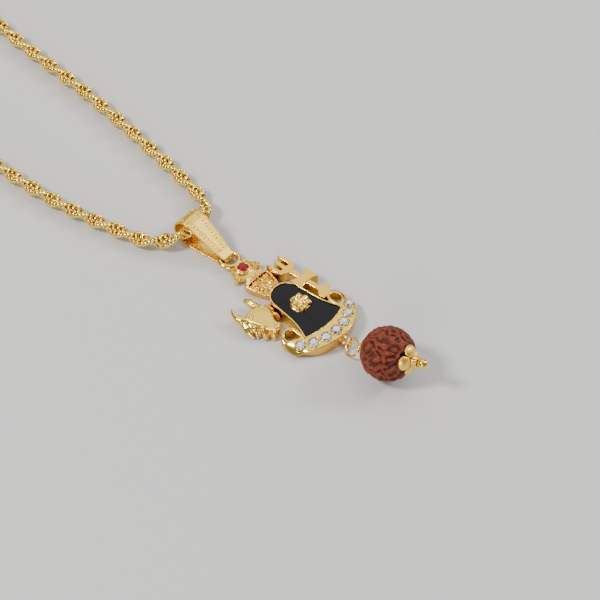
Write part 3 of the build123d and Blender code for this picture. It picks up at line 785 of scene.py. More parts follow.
for index, (x, y, radius, tilt) in enumerate(stones):
    points = []
    for step in range(8):
        angle = 2 * pi * step / 8
        between = angle + pi / 8
        points.append((table_reach * cos(angle), table_reach * sin(angle), table_height))
        points.append((kite_reach * cos(between), kite_reach * sin(between), kite_height))
        points.append((main_reach * cos(between), main_reach * sin(between), -main_depth))
    for step in range(16):
        angle = 2 * pi * step / 16
        points.append((cos(angle), sin(angle), girdle_height))
        points.append((cos(angle), sin(angle), 0.0))
    points.append((0, 0, -culet_depth))
    body = bmesh.new()
    depth_layer = body.verts.layers.float.new("depth")
    for point in points:
        body.verts.new(point)[depth_layer] = min(1.0, max(0.0, -point[2] / main_depth))
    bmesh.ops.convex_hull(body, input=body.verts)
    bmesh.ops.dissolve_limit(body, angle_limit=radians(1.5), verts=body.verts, edges=body.edges)
    bmesh.ops.recalc_face_normals(body, faces=body.faces)
    body.transform(
        Matrix.Translation((x, y, crown_top(x)))
        @ Matrix.Rotation(tilt, 4, "Y")
        @ Matrix.Rotation(radians(11 * index), 4, "Z")
        @ Matrix.Diagonal((radius, radius, radius, 1))
        @ Matrix.Translation((0, 0, -girdle_height))
    )
    # Painted reflections: each facet's brightness, the table painted fully bright
    painted_glint_layer = body.faces.layers.float.new("tone")
    for face in body.faces:
        face.material_index = 1 if face.normal.z < -0.2 else 0
        middle = face.calc_center_median()
        turn = int((atan2(middle.y - y, middle.x - x) + pi) / (pi / 8) + 0.5)
        face[painted_glint_layer] = 1.0 if len(face.verts) > 6 else painted_facet_glints[turn % 4]
    stone = object_from(f"brilliant_{index + 1}", body)
    stone.data.materials.append(crystal_material)
    stone.data.materials.append(foil_material)
    settle(stone, None, "clear_crystal", f"white_stone_{index + 1}")


# Dome: rim wall, back plate and enamel
dome_waist, dome_shoulder, dome_foot = Vector((3.75, -1.0)), Vector((3.4, 2.7)), Vector((5.2, -6.2))
dome_bottom_y, flare_steps = -6.9, 14
rim_half_wall, rim_top, rim_edge = 0.2, 2.7, 0.1


def dome_side():
    """Right side of the dome's outline from its foot up to its top, in plan."""
    start = dome_waist
    heading = (start - dome_shoulder).normalized()
    across = Vector((-heading.y, heading.x))
    reach = dome_foot - start
    radius = reach.length_squared / (2 * reach.dot(across))
    center = start + across * radius
    flare = []
    for index in range(flare_steps + 1):
        y = dome_bottom_y + (start.y - dome_bottom_y) * index / flare_steps
        flare.append((center.x - sqrt(radius**2 - (y - center.y) ** 2), y))
    side = [tuple(start.lerp(dome_shoulder, step / 6)) for step in range(1, 6)]
    return flare + side + arc((0, dome_shoulder.y), dome_shoulder.x, 0, 90, 16)


right_dome = dome_side()
dome_path = right_dome + mirrored(right_dome[:-1])
rim_path = [point for point in dome_path if point[1] > -6.75]
rim_low = rim_top - rim_edge
section = [(rim_half_wall, 0.02), (rim_half_wall, 2.3)]
section += arc((0.05, rim_low), rim_edge, 0, 90, 4) + arc((-0.05, rim_low), rim_edge, 90, 180, 4)
section += [(-rim_half_wall, 2.45), (-rim_half_wall, 0.02)]
middle_path = offset_path(rim_path, rim_half_wall)
verts = []
for index, (x, y) in enumerate(middle_path):
    left = leftward(middle_path, index)
    verts += [(x - left[0] * out, y - left[1] * out, z) for out, z in section]
size = len(section)
faces = swept_faces(len(middle_path), size)
faces.append(tuple(range(size)))
faces.append(tuple(len(verts) - 1 - step for step in range(size)))
settle_gold(crisp(closed_mesh("dome_rim", verts, faces)), gold_bright)

inner = []
for x, y in offset_path(dome_path, 0.42):
    if Vector((x, y - inner_center[1])).length < inner_radius - 0.05:
        inner.append((x, y))
foot_turn = degrees(atan2(inner[0][1] - inner_center[1], inner[0][0]))
foot = arc(inner_center, inner_radius - 0.03, -180 - foot_turn, foot_turn, 24)
enamel_outline = inner + foot[1:-1]
back = plate("dome_back", offset_path(dome_path, 0.1), [], 0.02, 0.8, bevel=0.06)
settle_gold(crisp(back), gold_satin)
enamel = plate("enamel_dome", enamel_outline, [], 0.84, 2.48, bevel=0.1, steps=4)
settle(crisp(enamel), enamel_material, "black_enamel", "enamel")

# Emblem: fanned bars with round ends and an upright slit eye, on a round plate
emblem_x, emblem_y, enamel_top = 0.4, -0.3, 2.5
parts = [blob((emblem_x, emblem_y, enamel_top - 0.05), (2.15, 1.9, 0.6), detail=4)]
bars = [  # inner end, outer end and radius
    ((0.35, 1.1), (1.35, 1.4), 0.56),
    ((0.5, 0.05), (1.85, 0.06), 0.6),
    ((0.4, -1.0), (1.5, -1.3), 0.58),
    ((-0.2, 1.35), (-1.1, 1.55), 0.48),
    ((-0.4, 0.5), (-1.9, 0.45), 0.52),
    ((-0.4, -0.42), (-1.65, -0.64), 0.46),
    ((-0.2, -1.25), (-1.05, -1.5), 0.44),
]
for (x0, y0), (x1, y1), radius in bars:
    path, radii = [], []
    for step in range(11):
        t = step / 10
        x, y = emblem_x + x0 + (x1 - x0) * t, emblem_y + y0 + (y1 - y0) * t
        path.append((x, y, enamel_top + 0.5 - 0.22 * t * t))
        radii.append(radius * sqrt(max(0.05, 1 - max(0.0, (t - 0.72) / 0.3) ** 2)))
    parts.append(tube("bar", path, radii, sides=16, squash=0.9, up=upward))
parts.append(blob((emblem_x + 0.1, emblem_y + 0.1, enamel_top + 0.52), (0.55, 1.85, 0.46), turn=4))
emblem = fused("tripund_relief", parts, voxel=0.045, smooth=3, flat_below=enamel_top - 0.04)


def emblem_relief(p, n):
    """Slit of the eye mark and the furrows beside it, inwards when negative."""
    x, y = p.x - emblem_x - 0.17, p.y - emblem_y + 0.3
    slit = max(0.0, 1 - (x / 0.12) ** 2) * max(0.0, 1 - (y / 0.85) ** 2)
    beside = max(0.0, 1 - ((abs(x) - 0.48) / 0.12) ** 2) * max(0.0, 1 - (y / 1.3) ** 2)
    return -(0.3 * slit + 0.12 * beside) * max(0.0, n.z) + 0.03 * noise.noise(p * 2.2)


carve(emblem, emblem_relief)
settle_gold(emblem, gold_cast, "tripund_emblem")

# Trishul with its damru
trishul_x, trishul_lean, trishul_half_width = 4.9, 0.87, 2.15
trishul_foot_y, trishul_length, trishul_height = -2.9, 13.8, 2.4
damru_x, damru_y, damru_height = 5.376, 3.35, 2.58
damru_half_span, damru_half_end, damru_half_waist, damru_bow = 2.15, 1.62, 0.92, 0.15


def trident(across, along):
    """Place on the trishul by shares of its half width and of its length."""
    x = trishul_x + trishul_lean * (1 - along) + across * trishul_half_width
    return (x, trishul_foot_y + along * trishul_length)


outline = arc_through(trident(-0.82, 1.0), trident(-1.01, 0.862), trident(-0.94, 0.754), 8)
outline += arc_through(trident(-0.94, 0.754), trident(-0.7, 0.705), trident(-0.3, 0.676), 6)[1:]
outline += [trident(-0.256, 0.62), (5.12, 0.1), (4.98, -0.55), (4.2, -1.45), (4.4, -2.6), (5.3, -2.72)]
outline += [(6.3, -2.6, 0.3), (6.95, -1.75, 0.3), (7.75, -1.05, 0.3), (7.65, -0.5, 0.3), (6.85, -0.55, 0.2)]
outline += [(6.4, -0.35, 0.2), (6.2, 0.1), trident(0.256, 0.62)]
outline += arc_through(trident(0.3, 0.676), trident(0.74, 0.732), trident(0.925, 0.819), 8)
outline += arc_through(trident(0.925, 0.819), trident(0.84, 0.92), trident(0.53, 1.0), 8)[1:]
outline += [trident(0.49, 0.93)]
outline += arc_through(trident(0.48, 0.812), trident(0.3, 0.779), trident(0.126, 0.804), 8)
outline += [trident(0.14, 0.93), trident(0.04, 0.989), trident(-0.2, 0.94)]
outline += arc_through(trident(-0.31, 0.804), trident(-0.44, 0.779), trident(-0.57, 0.804), 8)
outline += [trident(-0.6, 0.93)]
trishul = plate("trishul", rounded(outline, 0.09, 2), [], 0.0, trishul_height, bevel=0.13)
half, end, far = damru_half_span, damru_half_end, damru_half_span + damru_bow
damru_outline = arc_through((-half, end), (0, damru_half_waist), (half, end), 16)[::-1]
damru_outline += arc_through((-half, end), (-far, 0), (-half, -end), 8)[1:-1]
damru_outline += arc_through((-half, -end), (0, -damru_half_waist), (half, -end), 16)
damru_outline += arc_through((half, -end), (far, 0), (half, end), 8)[1:-1]
damru_outline = [(x + damru_x, y + damru_y) for x, y in damru_outline]
damru = plate("damru", damru_outline, [], 0.0, damru_height, bevel=0.14)


def plate_finish(middle, normal):
    """Hammered top, bright edges and walls in painted shade (a darker amber gold)."""
    return 0 if normal.z > 0.97 else 1 if normal.z > 0.3 else 2


for item in (trishul, damru):
    settle_gold(painted(crisp(item), (gold_hammered, gold_bright, gold_shaded_wall), plate_finish), None)

# Bull's head: matte face, polished horns and hanging ear, fluted side walls
face_outline = [
    (-4.05, 3.85), (-4.6, 4.95), (-5.7, 5.5), (-7.2, 5.7), (-8.7, 5.5), (-9.45, 4.75),
    (-9.5, 3.8), (-9.2, 2.8), (-8.9, 1.7), (-8.35, 0.45), (-7.85, -0.6), (-7.2, -1.35),
    (-6.45, -1.55), (-5.8, -1.1), (-5.6, -0.3), (-5.65, 0.5), (-5.15, 1.5), (-4.45, 2.7),
]
cheek_outline = [
    (-8.9, 5.0), (-9.9, 4.2), (-10.15, 3.0), (-9.95, 2.0), (-9.5, 1.1), (-9.1, 0.3),
    (-8.7, -0.5), (-8.1, -1.15), (-7.3, -1.55), (-6.3, -1.5), (-5.9, 0.0), (-6.6, 3.0),
]
arm_outline = [(-5.1, 4.9), (-3.55, 4.75), (-3.35, 3.9), (-3.45, 3.0), (-4.1, 2.2), (-5.0, 2.4)]
parts = [
    plate("face", rounded(face_outline, 0.6, 3), [], 0.0, 2.55, bevel=0.5, steps=5),
    plate("cheek", rounded(cheek_outline, 0.6, 3), [], 0.0, 1.75, bevel=0.5, steps=5),
    plate("arm", rounded(arm_outline, 0.5, 3), [], 0.0, 2.1, bevel=0.4, steps=4),
    blob((-9.4, 3.4, 1.25), (0.85, 1.7, 1.1), turn=-8),
    blob((-4.15, 3.4, 1.05), (0.95, 1.15, 1.05)),
    blob((-4.35, 2.2, 1.2), (0.62, 1.5, 0.95), turn=12),
    blob((-3.75, 3.8, 1.2), (0.6, 0.7, 0.95)),
]
# Horns and ear: x, y, z and radius from root to tip
left_horn = [
    (-9.2, 4.75, 1.45, 0.95), (-9.62, 5.5, 1.55, 0.88), (-9.8, 6.3, 1.6, 0.76), (-9.72, 7.1, 1.7, 0.6),
    (-9.5, 7.8, 1.8, 0.42), (-9.25, 8.3, 1.88, 0.24), (-9.05, 8.65, 1.92, 0.08),
]
right_horn = [
    (-5.6, 5.0, 1.5, 0.9), (-5.5, 5.8, 1.6, 0.86), (-5.46, 6.6, 1.65, 0.87), (-5.5, 7.3, 1.7, 0.82),
    (-5.66, 7.9, 1.72, 0.66), (-5.85, 8.3, 1.74, 0.46), (-6.0, 8.5, 1.74, 0.25),
]
leaf_ear = [
    (-9.45, 5.0, 1.8, 0.45), (-9.85, 4.4, 1.7, 0.74), (-10.15, 3.6, 1.45, 0.84), (-10.35, 2.8, 1.15, 0.74),
    (-10.42, 2.15, 0.85, 0.5), (-10.46, 1.65, 0.62, 0.22), (-10.47, 1.45, 0.55, 0.08),
]
for horn in (left_horn, right_horn):
    parts.append(tube("horn", [row[:3] for row in horn], [row[3] for row in horn], sides=20))
ear_face = (-0.55, -0.35, 0.76)
ear_places, ear_radii = [row[:3] for row in leaf_ear], [row[3] for row in leaf_ear]
parts.append(tube("leaf", ear_places, ear_radii, sides=18, squash=0.55, up=ear_face))
pillars = [
    ([(-9.2, 2.4, 2.05), (-9.55, 1.7, 1.5), (-9.75, 1.3, 0.9), (-9.8, 1.1, 0.3)], [0.34, 0.32, 0.3, 0.28]),
    (
        [(-7.4, 2.5, 1.9), (-7.9, 1.8, 2.0), (-8.4, 1.0, 1.85), (-8.8, 0.25, 1.3), (-8.95, -0.15, 0.4)],
        [0.25, 0.5, 0.66, 0.6, 0.5],
    ),
    ([(-6.9, -0.2, 1.9), (-7.6, -0.95, 1.7), (-7.9, -1.25, 1.0), (-7.9, -1.3, 0.3)], [0.3, 0.5, 0.45, 0.4]),
]
for pillar, radii in pillars:
    parts.append(tube("pillar", pillar, radii, sides=16))
for x, y, z, radius in ((-8.35, 4.0, 2.5, 0.46), (-5.4, 4.4, 2.5, 0.36)):
    parts.append(blob((x, y, z), (radius * 0.55, radius * 0.5, 0.28), detail=3))
    curl = []
    for step in range(15):
        angle = radians(-40 + 20 * step)
        reach = radius * (1.25 - 0.03 * step)
        curl.append((x + reach * cos(angle), y + reach * 0.85 * sin(angle), z + 0.04 + 0.006 * step))
    parts.append(tube("curl", curl, 0.12, sides=10))
for nostril in ((-6.85, -0.85, 2.45), (-5.95, -0.75, 2.45)):
    parts.append(blob(nostril, (0.34, 0.42, 0.36), detail=3))
head = fused("bull_head", parts, voxel=0.055, smooth=5)
wall_top, arm_x = 1.95, -4.75
horn_foot_y, horn_split_x, wave_length = 5.9, -7.5, 0.62


def in_side_wall(p):
    """Whether a place is on the fluted wall below the face."""
    return p.z < wall_top and -10.1 < p.x < -7.3 and p.y < 2.3


def to_pillars(p):
    """Distance to the nearest pillar's middle line."""
    return min(to_path(p, pillar) for pillar, _ in pillars)


def head_relief(p, n):
    """Hollows and grooves of the bull's head, inwards when negative."""
    change = -0.3 * bowl(p, (-6.95, -1.2, 2.45), 0.36) - 0.3 * bowl(p, (-6.0, -1.15, 2.45), 0.36)
    brow_and_muzzle = 0.42 * bowl(p, (-6.9, 2.7, 2.5), 3.3) + 0.2 * bowl(p, (-6.5, -0.5, 2.5), 1.5)
    change += max(0.0, n.z) * brow_and_muzzle
    if in_side_wall(p):
        change -= 0.4 * eased(to_pillars(p), 0.5, 0.85) * eased(wall_top - p.z, 0.0, 0.45)
    if p.y > horn_foot_y:
        stretch, strength = (1.0, 1.0) if p.x > horn_split_x else (0.9, 0.3)
        wave = sin(2 * pi * (p.x - horn_split_x) * stretch / wave_length)
        change -= 0.07 * (0.5 - 0.5 * wave) * min(1.0, (p.y - horn_foot_y) / 0.5) * strength
    if p.x > arm_x:
        change += 0.13 * noise.noise(p * 1.9)
    return change + 0.03 * noise.noise(p * 1.5)


def head_finish(middle, normal):
    """Matte face, painted shade (a darker amber gold) on the arm and in the flutes, and bright cast metal
    elsewhere.
    """
    x, y, z = middle
    if x > arm_x and y > 0.5:
        return 2
    if z > 2.2 and normal.z > 0.72 and y < 5.4 and x > -9.3:
        return 1
    return 2 if in_side_wall(middle) and to_pillars(middle) > 0.6 else 0


carve(head, head_relief)
settle_gold(painted(head, (gold_cast, gold_matte, gold_shaded_amber), head_finish), None)

# Hood and drum crown, with the ring on the crown's neck
hood_foot_y, crown_middle_y, red_y = 5.65, 13.9, 14.1
hood_half = arc_through((1.45, hood_foot_y), (2.42, 7.7), (2.98, 9.9), 12)
hood_half += [(2.95, 10.6), (2.5, 11.3), (1.75, 11.75)]
hood_outline = hood_half + mirrored(hood_half)
parts = [plate("hood", rounded(hood_outline, 0.2, 3), [], 0.0, 1.1, bevel=0.2)]
lip_half = [(x * 0.9, 6.0 + (y - hood_foot_y) * 0.96) for x, y in hood_half[:14]]
lip = [(x, y, 1.15) for x, y in reversed(lip_half)] + [(-x, y, 1.15) for x, y in lip_half]
parts.append(tube("lip", lip, 0.4, sides=12))
for y, half, radius in ((10.62, 2.7, 0.17), (11.06, 2.5, 0.18), (11.5, 2.1, 0.18)):
    path = [(half * step / 10, y + 0.32 * (1 - (step / 10) ** 2) - 0.2, 1.46) for step in range(-10, 11)]
    parts.append(tube("band", path, radius, sides=10))
parts.append(blob((0, 8.6, 0.7), (2.3, 2.8, 0.8)))
hammer_marks = [  # x, y, half width, half length and turn
    (-1.3, 9.7, 0.62, 0.7, 25), (0.1, 9.85, 0.75, 0.6, -10), (1.35, 9.6, 0.55, 0.75, -20),
    (-1.2, 8.35, 0.55, 0.7, 15), (0.0, 8.5, 0.6, 0.62, 30), (1.15, 8.2, 0.5, 0.65, -25),
    (-0.55, 7.35, 0.55, 0.5, 10), (0.6, 7.2, 0.5, 0.5, -20),
]
for x, y, half_width, half_length, turn in hammer_marks:
    parts.append(blob((x, y, 1.3), (half_width, half_length, 0.27), turn=turn, detail=3))
crown_half = [(1.5, 11.5)] + arc_through((1.6, 11.75), (2.0, 12.5), (2.95, 12.55), 8)
crown_half += [(3.25, 12.8), (3.2, 13.15)]
crown_half += arc_through((3.1, 13.3), (2.4, 14.0), (2.05, 15.1), 8) + [(1.7, 15.8)]
crown_outline = crown_half + mirrored(crown_half)
parts.append(plate("crown", rounded(crown_outline, 0.12, 2), [], 0.0, 1.4, bevel=0.3, steps=4))
edge = [(x * 0.9, crown_middle_y + (y - crown_middle_y) * 0.9, 1.3) for x, y in crown_half[1:]]
parts.append(tube("edge", edge, 0.26, sides=10))
parts.append(tube("edge", [(-x, y, z) for x, y, z in edge], 0.26, sides=10))
parts.append(blob((0, red_y - 0.1, 0.8), (2.6, 2.1, 1.02)))
for side in (-1, 1):
    parts.append(blob((side * 2.95, 12.95, 1.0), (0.4, 0.36, 0.62), detail=3))
parts.append(ring("seat", (0, red_y, 1.6), upward, 1.3, 0.42, around=40, sides=10))
hood = fused("hood_and_crown", parts, voxel=0.055, smooth=2)


def hood_relief(p, n):
    """Hammered hollows of the hood, inwards when negative."""
    inside = max(0.0, 1 - (p.x / 2.4) ** 4) * max(0.0, 1 - ((p.y - 8.5) / 2.3) ** 4) * max(0.0, n.z)
    cells = abs(noise.noise(Vector((p.x * 0.9, p.y * 0.9, 4.2))))
    fine = noise.noise(Vector((p.x * 2.3, p.y * 2.3, 1.7)))
    on_crown = p.y > 11.9 and p.z > 0.9
    crown_marks = 0.05 * noise.noise(Vector((p.x * 1.9, p.y * 1.9, 8.0))) if on_crown else 0.0
    return inside * (0.10 - 0.30 * cells + 0.10 * fine) + crown_marks + 0.015 * noise.noise(p * 1.8)


def hood_finish(middle, normal):
    """Painted shade (a darker amber gold) in the hood's hollow, on the crown's ground and on the hood's
    walls.
    """
    x, y, z = middle
    inside_hood = (x / 2.15) ** 2 + ((y - 8.55) / 2.05) ** 2 < 1 and z > 0.9
    crown_ground = y > 12.3 and z < 1.62 and abs(normal.z) > 0.6
    return 1 if inside_hood or crown_ground or (normal.z < 0.3 and y < 12) else 0


carve(hood, hood_relief)
settle_gold(painted(hood, (gold_cast, gold_shaded_amber), hood_finish), None)

loop_y, loop_z, loop_radius, loop_wire = -12.15, 1.5, 1.2, 0.6
# Red collet in the darker amber copy of the gold, a painted shade
settle_gold(ring("red_collet", (0, red_y, 1.8), upward, 1.1, 0.16, around=40, sides=10), gold_shaded_wall)
settle_gold(ring("pendant_ring", (0, 17.55, 1.095), upward, 1.855, 1.05, around=64, sides=20), gold_bright)
cast_loop = ring("cast_loop", (0, loop_y, loop_z), sideways, loop_radius, loop_wire, around=40)
settle_gold(cast_loop, gold_bright)

# Red cabochon: rows of a half sphere, its flat side down
cabochon_rows, cabochon_sides = 8, 40
cabochon_radius, cabochon_foot, cabochon_rise = 1.04, 1.72, 0.42
verts = []
for row in range(1, cabochon_rows + 1):
    polar = pi / 2 * row / cabochon_rows
    reach, level = cabochon_radius * sin(polar), cabochon_foot + cabochon_rise * cos(polar)
    for step in range(cabochon_sides):
        angle = 2 * pi * step / cabochon_sides
        verts.append((reach * cos(angle), red_y + reach * sin(angle), level))
faces = swept_faces(cabochon_rows, cabochon_sides)
verts.append((0, red_y, cabochon_foot + cabochon_rise))
faces += [(len(verts) - 1, step, (step + 1) % cabochon_sides) for step in range(cabochon_sides)]
faces.append(tuple(range((cabochon_rows - 1) * cabochon_sides, cabochon_rows * cabochon_sides)))
cabochon = closed_mesh("red_cabochon", verts, faces)
settle(crisp(cabochon, 60.0), red_material, "red_crystal", "red_stone")

# Wire eye, stem, pin and stop ball: the same places as the solids
slope, turn, roll = radians(38.0), radians(15.0), radians(30.0)
eye_along = Vector((-sin(turn) * cos(slope), cos(turn) * cos(slope), -sin(slope)))
eye_level = eye_along.cross(Vector((0, 0, 1))).normalized()
eye_across = eye_level * cos(roll) + eye_level.cross(eye_along) * sin(roll)
pass_angle = radians(36.0)
eye_radius = 1.75
eye_pass = Vector((0, loop_y - loop_radius + 0.55 + 0.2, loop_z - 0.1))
eye_center = eye_pass - (eye_along * cos(pass_angle) + eye_across * sin(pass_angle)) * eye_radius
eye_stem, pin_reach = 1.1, 0.35
pin_end = eye_center - eye_along * (eye_radius + eye_stem)
bead_radius = 5.35
bead_slope = asin((bead_radius - pin_end.z) / (bead_radius + pin_reach))
bead_heading = radians(7.5)
bead_axis = Vector(
    (sin(bead_heading) * cos(bead_slope), -cos(bead_heading) * cos(bead_slope), sin(bead_slope))
)
bead_center = pin_end + bead_axis * (bead_radius + pin_reach)
eye_path = [pin_end + eye_along * 0.1, pin_end + eye_along * 0.6]
for step in range(37):
    angle = radians(180 + 8) + radians(344) * step / 36
    eye_path.append(eye_center + (eye_along * cos(angle) + eye_across * sin(angle)) * eye_radius)
eye_path += [pin_end + eye_along * 0.75 + eye_across * 0.35]
wrap_turns, wrap_reach = 2.5, 0.36
eye_beside = eye_along.cross(eye_across)
wrap = []
for step in range(49):
    angle = 2 * pi * wrap_turns * step / 48
    foot = pin_end + eye_along * (0.25 + 0.95 * step / 48)
    wrap.append(foot + (eye_across * cos(angle) + eye_beside * sin(angle)) * wrap_reach)
cap_wall, cap_gap, spacer_length, ball_radius = 0.35, 0.12, 1.25, 1.065
ball_reach = bead_radius + cap_wall + cap_gap + spacer_length + 0.975
pin_path = [pin_end + eye_along * 0.2, pin_end + bead_axis * 0.15, bead_center + bead_axis * ball_reach]
eye_parts = [
    tube("eye", eye_path, 0.25, sides=12),
    tube("wrap", wrap, 0.19, sides=10),
    tube("pin", pin_path, 0.25, sides=12),
    blob(bead_center + bead_axis * (ball_reach - 0.11), (ball_radius, ball_radius, ball_radius)),
]
settle_gold(smoothed(joined("eye_wire_and_ball", eye_parts)), gold_bright, "eye_pin")


def drift(p):
    """Smooth vector field, the same in every run."""
    shifts = (Vector((0, 0, 0)), Vector((17, 0, 5)), Vector((3, 31, 0)))
    return Vector([noise.noise(p + shift) for shift in shifts])


# Seed bead: winding ridges between furrows and pits, and shallow lines from pole to pole
wave_count, shortest_wave, longest_wave = 18, 1.0, 1.5
furrow_depth, face_lines = 0.62, 5
pole_dip, pole_share = 0.25, 0.955
pole_turn = Vector((0, 0, 1)).rotation_difference(bead_axis)
chooser = Random(11)
waves = []
for index in range(wave_count):
    heading = Vector((chooser.gauss(0, 1), chooser.gauss(0, 1), chooser.gauss(0, 0.55))).normalized()
    length = chooser.uniform(shortest_wave, longest_wave)
    waves.append((heading * (2 * pi / length), chooser.uniform(0, 2 * pi)))
body = bmesh.new()
bmesh.ops.create_icosphere(body, subdivisions=6, radius=1.0)
heights = []
for vert in body.verts:
    direction = vert.co.normalized()
    p = direction * bead_radius
    warped = p + drift(p * 0.4) * 0.9
    winding = sum(cos(wave.dot(warped) + phase) for wave, phase in waves) / 3.0
    ridge = eased(0.74 + 0.62 * winding, 0.0, 1.0)
    longitude = atan2(direction.y, direction.x) + 0.10 * noise.noise(p * 0.5)
    meridian = abs(sin(longitude * face_lines / 2)) * sqrt(max(0.0, 1 - direction.z**2))
    line = min(1.0, 0.45 + meridian / 0.16)
    height = ridge * line * (0.85 + 0.3 * noise.noise(p * 1.1))
    heights.append(height)
    pole = max(0.0, (abs(direction.z) - pole_share) / (1 - pole_share))
    roughness = 0.05 * noise.noise(p * 3.2)
    furrow = furrow_depth * (1 - min(1.0, height))
    vert.co = direction * (bead_radius - 0.06 - furrow - pole_dip * pole + roughness)
body.transform(Matrix.Translation(bead_center) @ pole_turn.to_matrix().to_4x4())
seed_bead = smoothed(object_from("wrinkled_seed", body))
seed_bead.data.attributes.new("height", "FLOAT", "POINT").data.foreach_set("value", heights)
settle(seed_bead, seed_material, "rudraksha_seed", "rudraksha_bead")

# Bead cap of rounded petals, coil and pole of the bead
pole_x = bead_axis.cross(Vector((0, 0, 1))).normalized()
pole_y = bead_axis.cross(pole_x)
around, rings_count = 96, 14
petals, petal_turn = 4, 0.4
petal_notch, petal_reach, petal_swell = 1.3, 1.75, 0.5
cap_inner = bead_radius + 0.05
verts = []
for layer in (1, 0):
    for step in range(rings_count + 1):
        for index in range(around):
            angle = 2 * pi * index / around
            lobe = max(0.0, abs(cos(petals / 2 * (angle + petal_turn))) - 0.03) ** 0.34
            edge_share = step / rings_count
            reach = (petal_notch + petal_reach * lobe) * (0.12 + 0.88 * edge_share)
            swell = petal_swell * sqrt(max(0.0, 1 - edge_share**3)) * (0.35 + 0.65 * lobe)
            radius = cap_inner + (0.06 + swell if layer else 0.0)
            curl = 0.10 * edge_share**3
            polar = reach / radius
            out = pole_x * cos(angle) + pole_y * sin(angle)
            verts.append(bead_center + (bead_axis * cos(polar) + out * sin(polar)) * (radius + curl))
block = (rings_count + 1) * around
faces = swept_faces(rings_count + 1, around) + swept_faces(rings_count + 1, around, first=block)
for index in range(around):
    nxt = (index + 1) % around
    last = rings_count * around
    faces.append((last + index, last + nxt, block + last + nxt, block + last + index))
    faces.append((index, nxt, block + nxt, block + index))
settle_gold(crisp(closed_mesh("petal_cap", verts, faces), 60.0), gold_matte, "bead_cap")
coil_parts = []
coil_start = bead_radius + cap_wall + cap_gap
for along, radius, wire in ((0.22, 0.84, 0.42), (0.6, 0.86, 0.42), (1.0, 0.82, 0.52)):
    middle = bead_center + bead_axis * (coil_start + along)
    coil_parts.append(ring("coil", middle, bead_axis, radius, wire, around=36, sides=12))
settle_gold(joined("coil_rings", coil_parts), gold_bright, "coil_spacer")

# Geometry Nodes that repeat a shape on points or along a path


def nodes_tree(name, *sockets):
    """Geometry node group that takes a geometry, a shape, its material and the named values."""
    given = [("Geometry", "NodeSocketGeometry", None), ("Shape", "NodeSocketObject", None)]
    given += [("Material", "NodeSocketMaterial", None), *sockets]
    labels = [(*socket, "INPUT") for socket in given]
    return new_tree(name, "GeometryNodeTree", [*labels, ("Geometry", "NodeSocketGeometry", None, "OUTPUT")])


def repeat_shape(tree, given, out, points, placing):
    """Put the given shape on points, make the copies real and give them their material."""
    shape = add_node(tree, "GeometryNodeObjectInfo", {"Object": given.outputs["Shape"]}).outputs["Geometry"]
    values = {"Points": points, "Instance": shape, **placing}
    copies = add_node(tree, "GeometryNodeInstanceOnPoints", values)
    real = add_node(tree, "GeometryNodeRealizeInstances", {0: copies.outputs[0]})
    values = {"Geometry": real.outputs[0], "Material": given.outputs["Material"]}
    set_inputs(tree, out, {0: add_node(tree, "GeometryNodeSetMaterial", values).outputs[0]})


def with_nodes(obj, tree, **values):
    """Run a geometry node group on an object and keep the result as a plain mesh."""
    modifier = obj.modifiers.new("repeat", "NODES")
    modifier.node_group = tree
    for item in tree.interface.items_tree:
        if item.in_out == "INPUT" and item.name.lower() in values:
            modifier[item.identifier] = values[item.name.lower()]
    return bake(obj)


dots_tree, dots_in, dots_out = nodes_tree("dots")
dot_size = add_node(dots_tree, "GeometryNodeInputNamedAttribute", {"Name": "size"}, data_type="FLOAT")
repeat_shape(dots_tree, dots_in, dots_out, dots_in.outputs["Geometry"], {"Scale": dot_size.outputs[0]})

chain_sockets = [("Count", "NodeSocketInt", 100), ("Twist", FLOAT, 0.0)]
chain_tree, chain_in, chain_out = nodes_tree("rope chain", *chain_sockets)
line = add_node(chain_tree, "GeometryNodeMeshToCurve", {0: chain_in.outputs["Geometry"]})
upright = add_node(chain_tree, "GeometryNodeSetCurveNormal", {"Curve": line.outputs[0]}, mode="Z_UP")
values = {"Curve": upright.outputs[0], "Count": chain_in.outputs["Count"]}
stations = add_node(chain_tree, "GeometryNodeCurveToPoints", values, mode="COUNT")
station_index = add_node(chain_tree, "GeometryNodeInputIndex").outputs[0]
values = {"Axis": upward, "Angle": product(chain_tree, station_index, chain_in.outputs["Twist"])}
link_turn = add_node(chain_tree, "FunctionNodeAxisAngleToRotation", values)
values = {"Rotation": stations.outputs["Rotation"], "Rotate By": link_turn.outputs[0]}
turned = add_node(chain_tree, "FunctionNodeRotateRotation", values, rotation_space="LOCAL")
placing = {"Rotation": turned.outputs[0]}
repeat_shape(chain_tree, chain_in, chain_out, stations.outputs["Points"], placing)


def dots(name, spots, material, node="pendant_frame"):
    """Small round gold grains at places with sizes, each spot being (place, size)."""
    grain = smoothed(blob((0, 0, 0), (1, 1, 1), detail=2))
    cloud = link_mesh(name, [place for place, _ in spots])
    sizes = [size for _, size in spots]
    cloud.data.attributes.new("size", "FLOAT", "POINT").data.foreach_set("value", sizes)
    cloud = with_nodes(cloud, dots_tree, shape=grain, material=material)
    bpy.data.objects.remove(grain)
    settle_gold(cloud, None, node)


milgrain_radius, milgrain_size = 11.68, 0.11
milgrain = []
for x, y in arc(inner_center, milgrain_radius, -114, -66, 40):
    milgrain.append(((x, y, crown_top(x) - 0.02), milgrain_size))
dots("milgrain", milgrain, gold_bright)

# Bail: a strap folded round the ring, with grained bands beside a smooth middle
foot_center, foot_radius = Vector((18.529, 1.095)), 1.095
fold_center, fold_radius = Vector((26.984, 2.95)), 2.95
strap_angle = radians(114.74)
strap_wall = 0.45
grained_length = 5.2  # past the fold's start
fold_reach = (fold_center - foot_center).length
upper_run = fold_reach * cos(asin((fold_radius - foot_radius) / fold_reach))


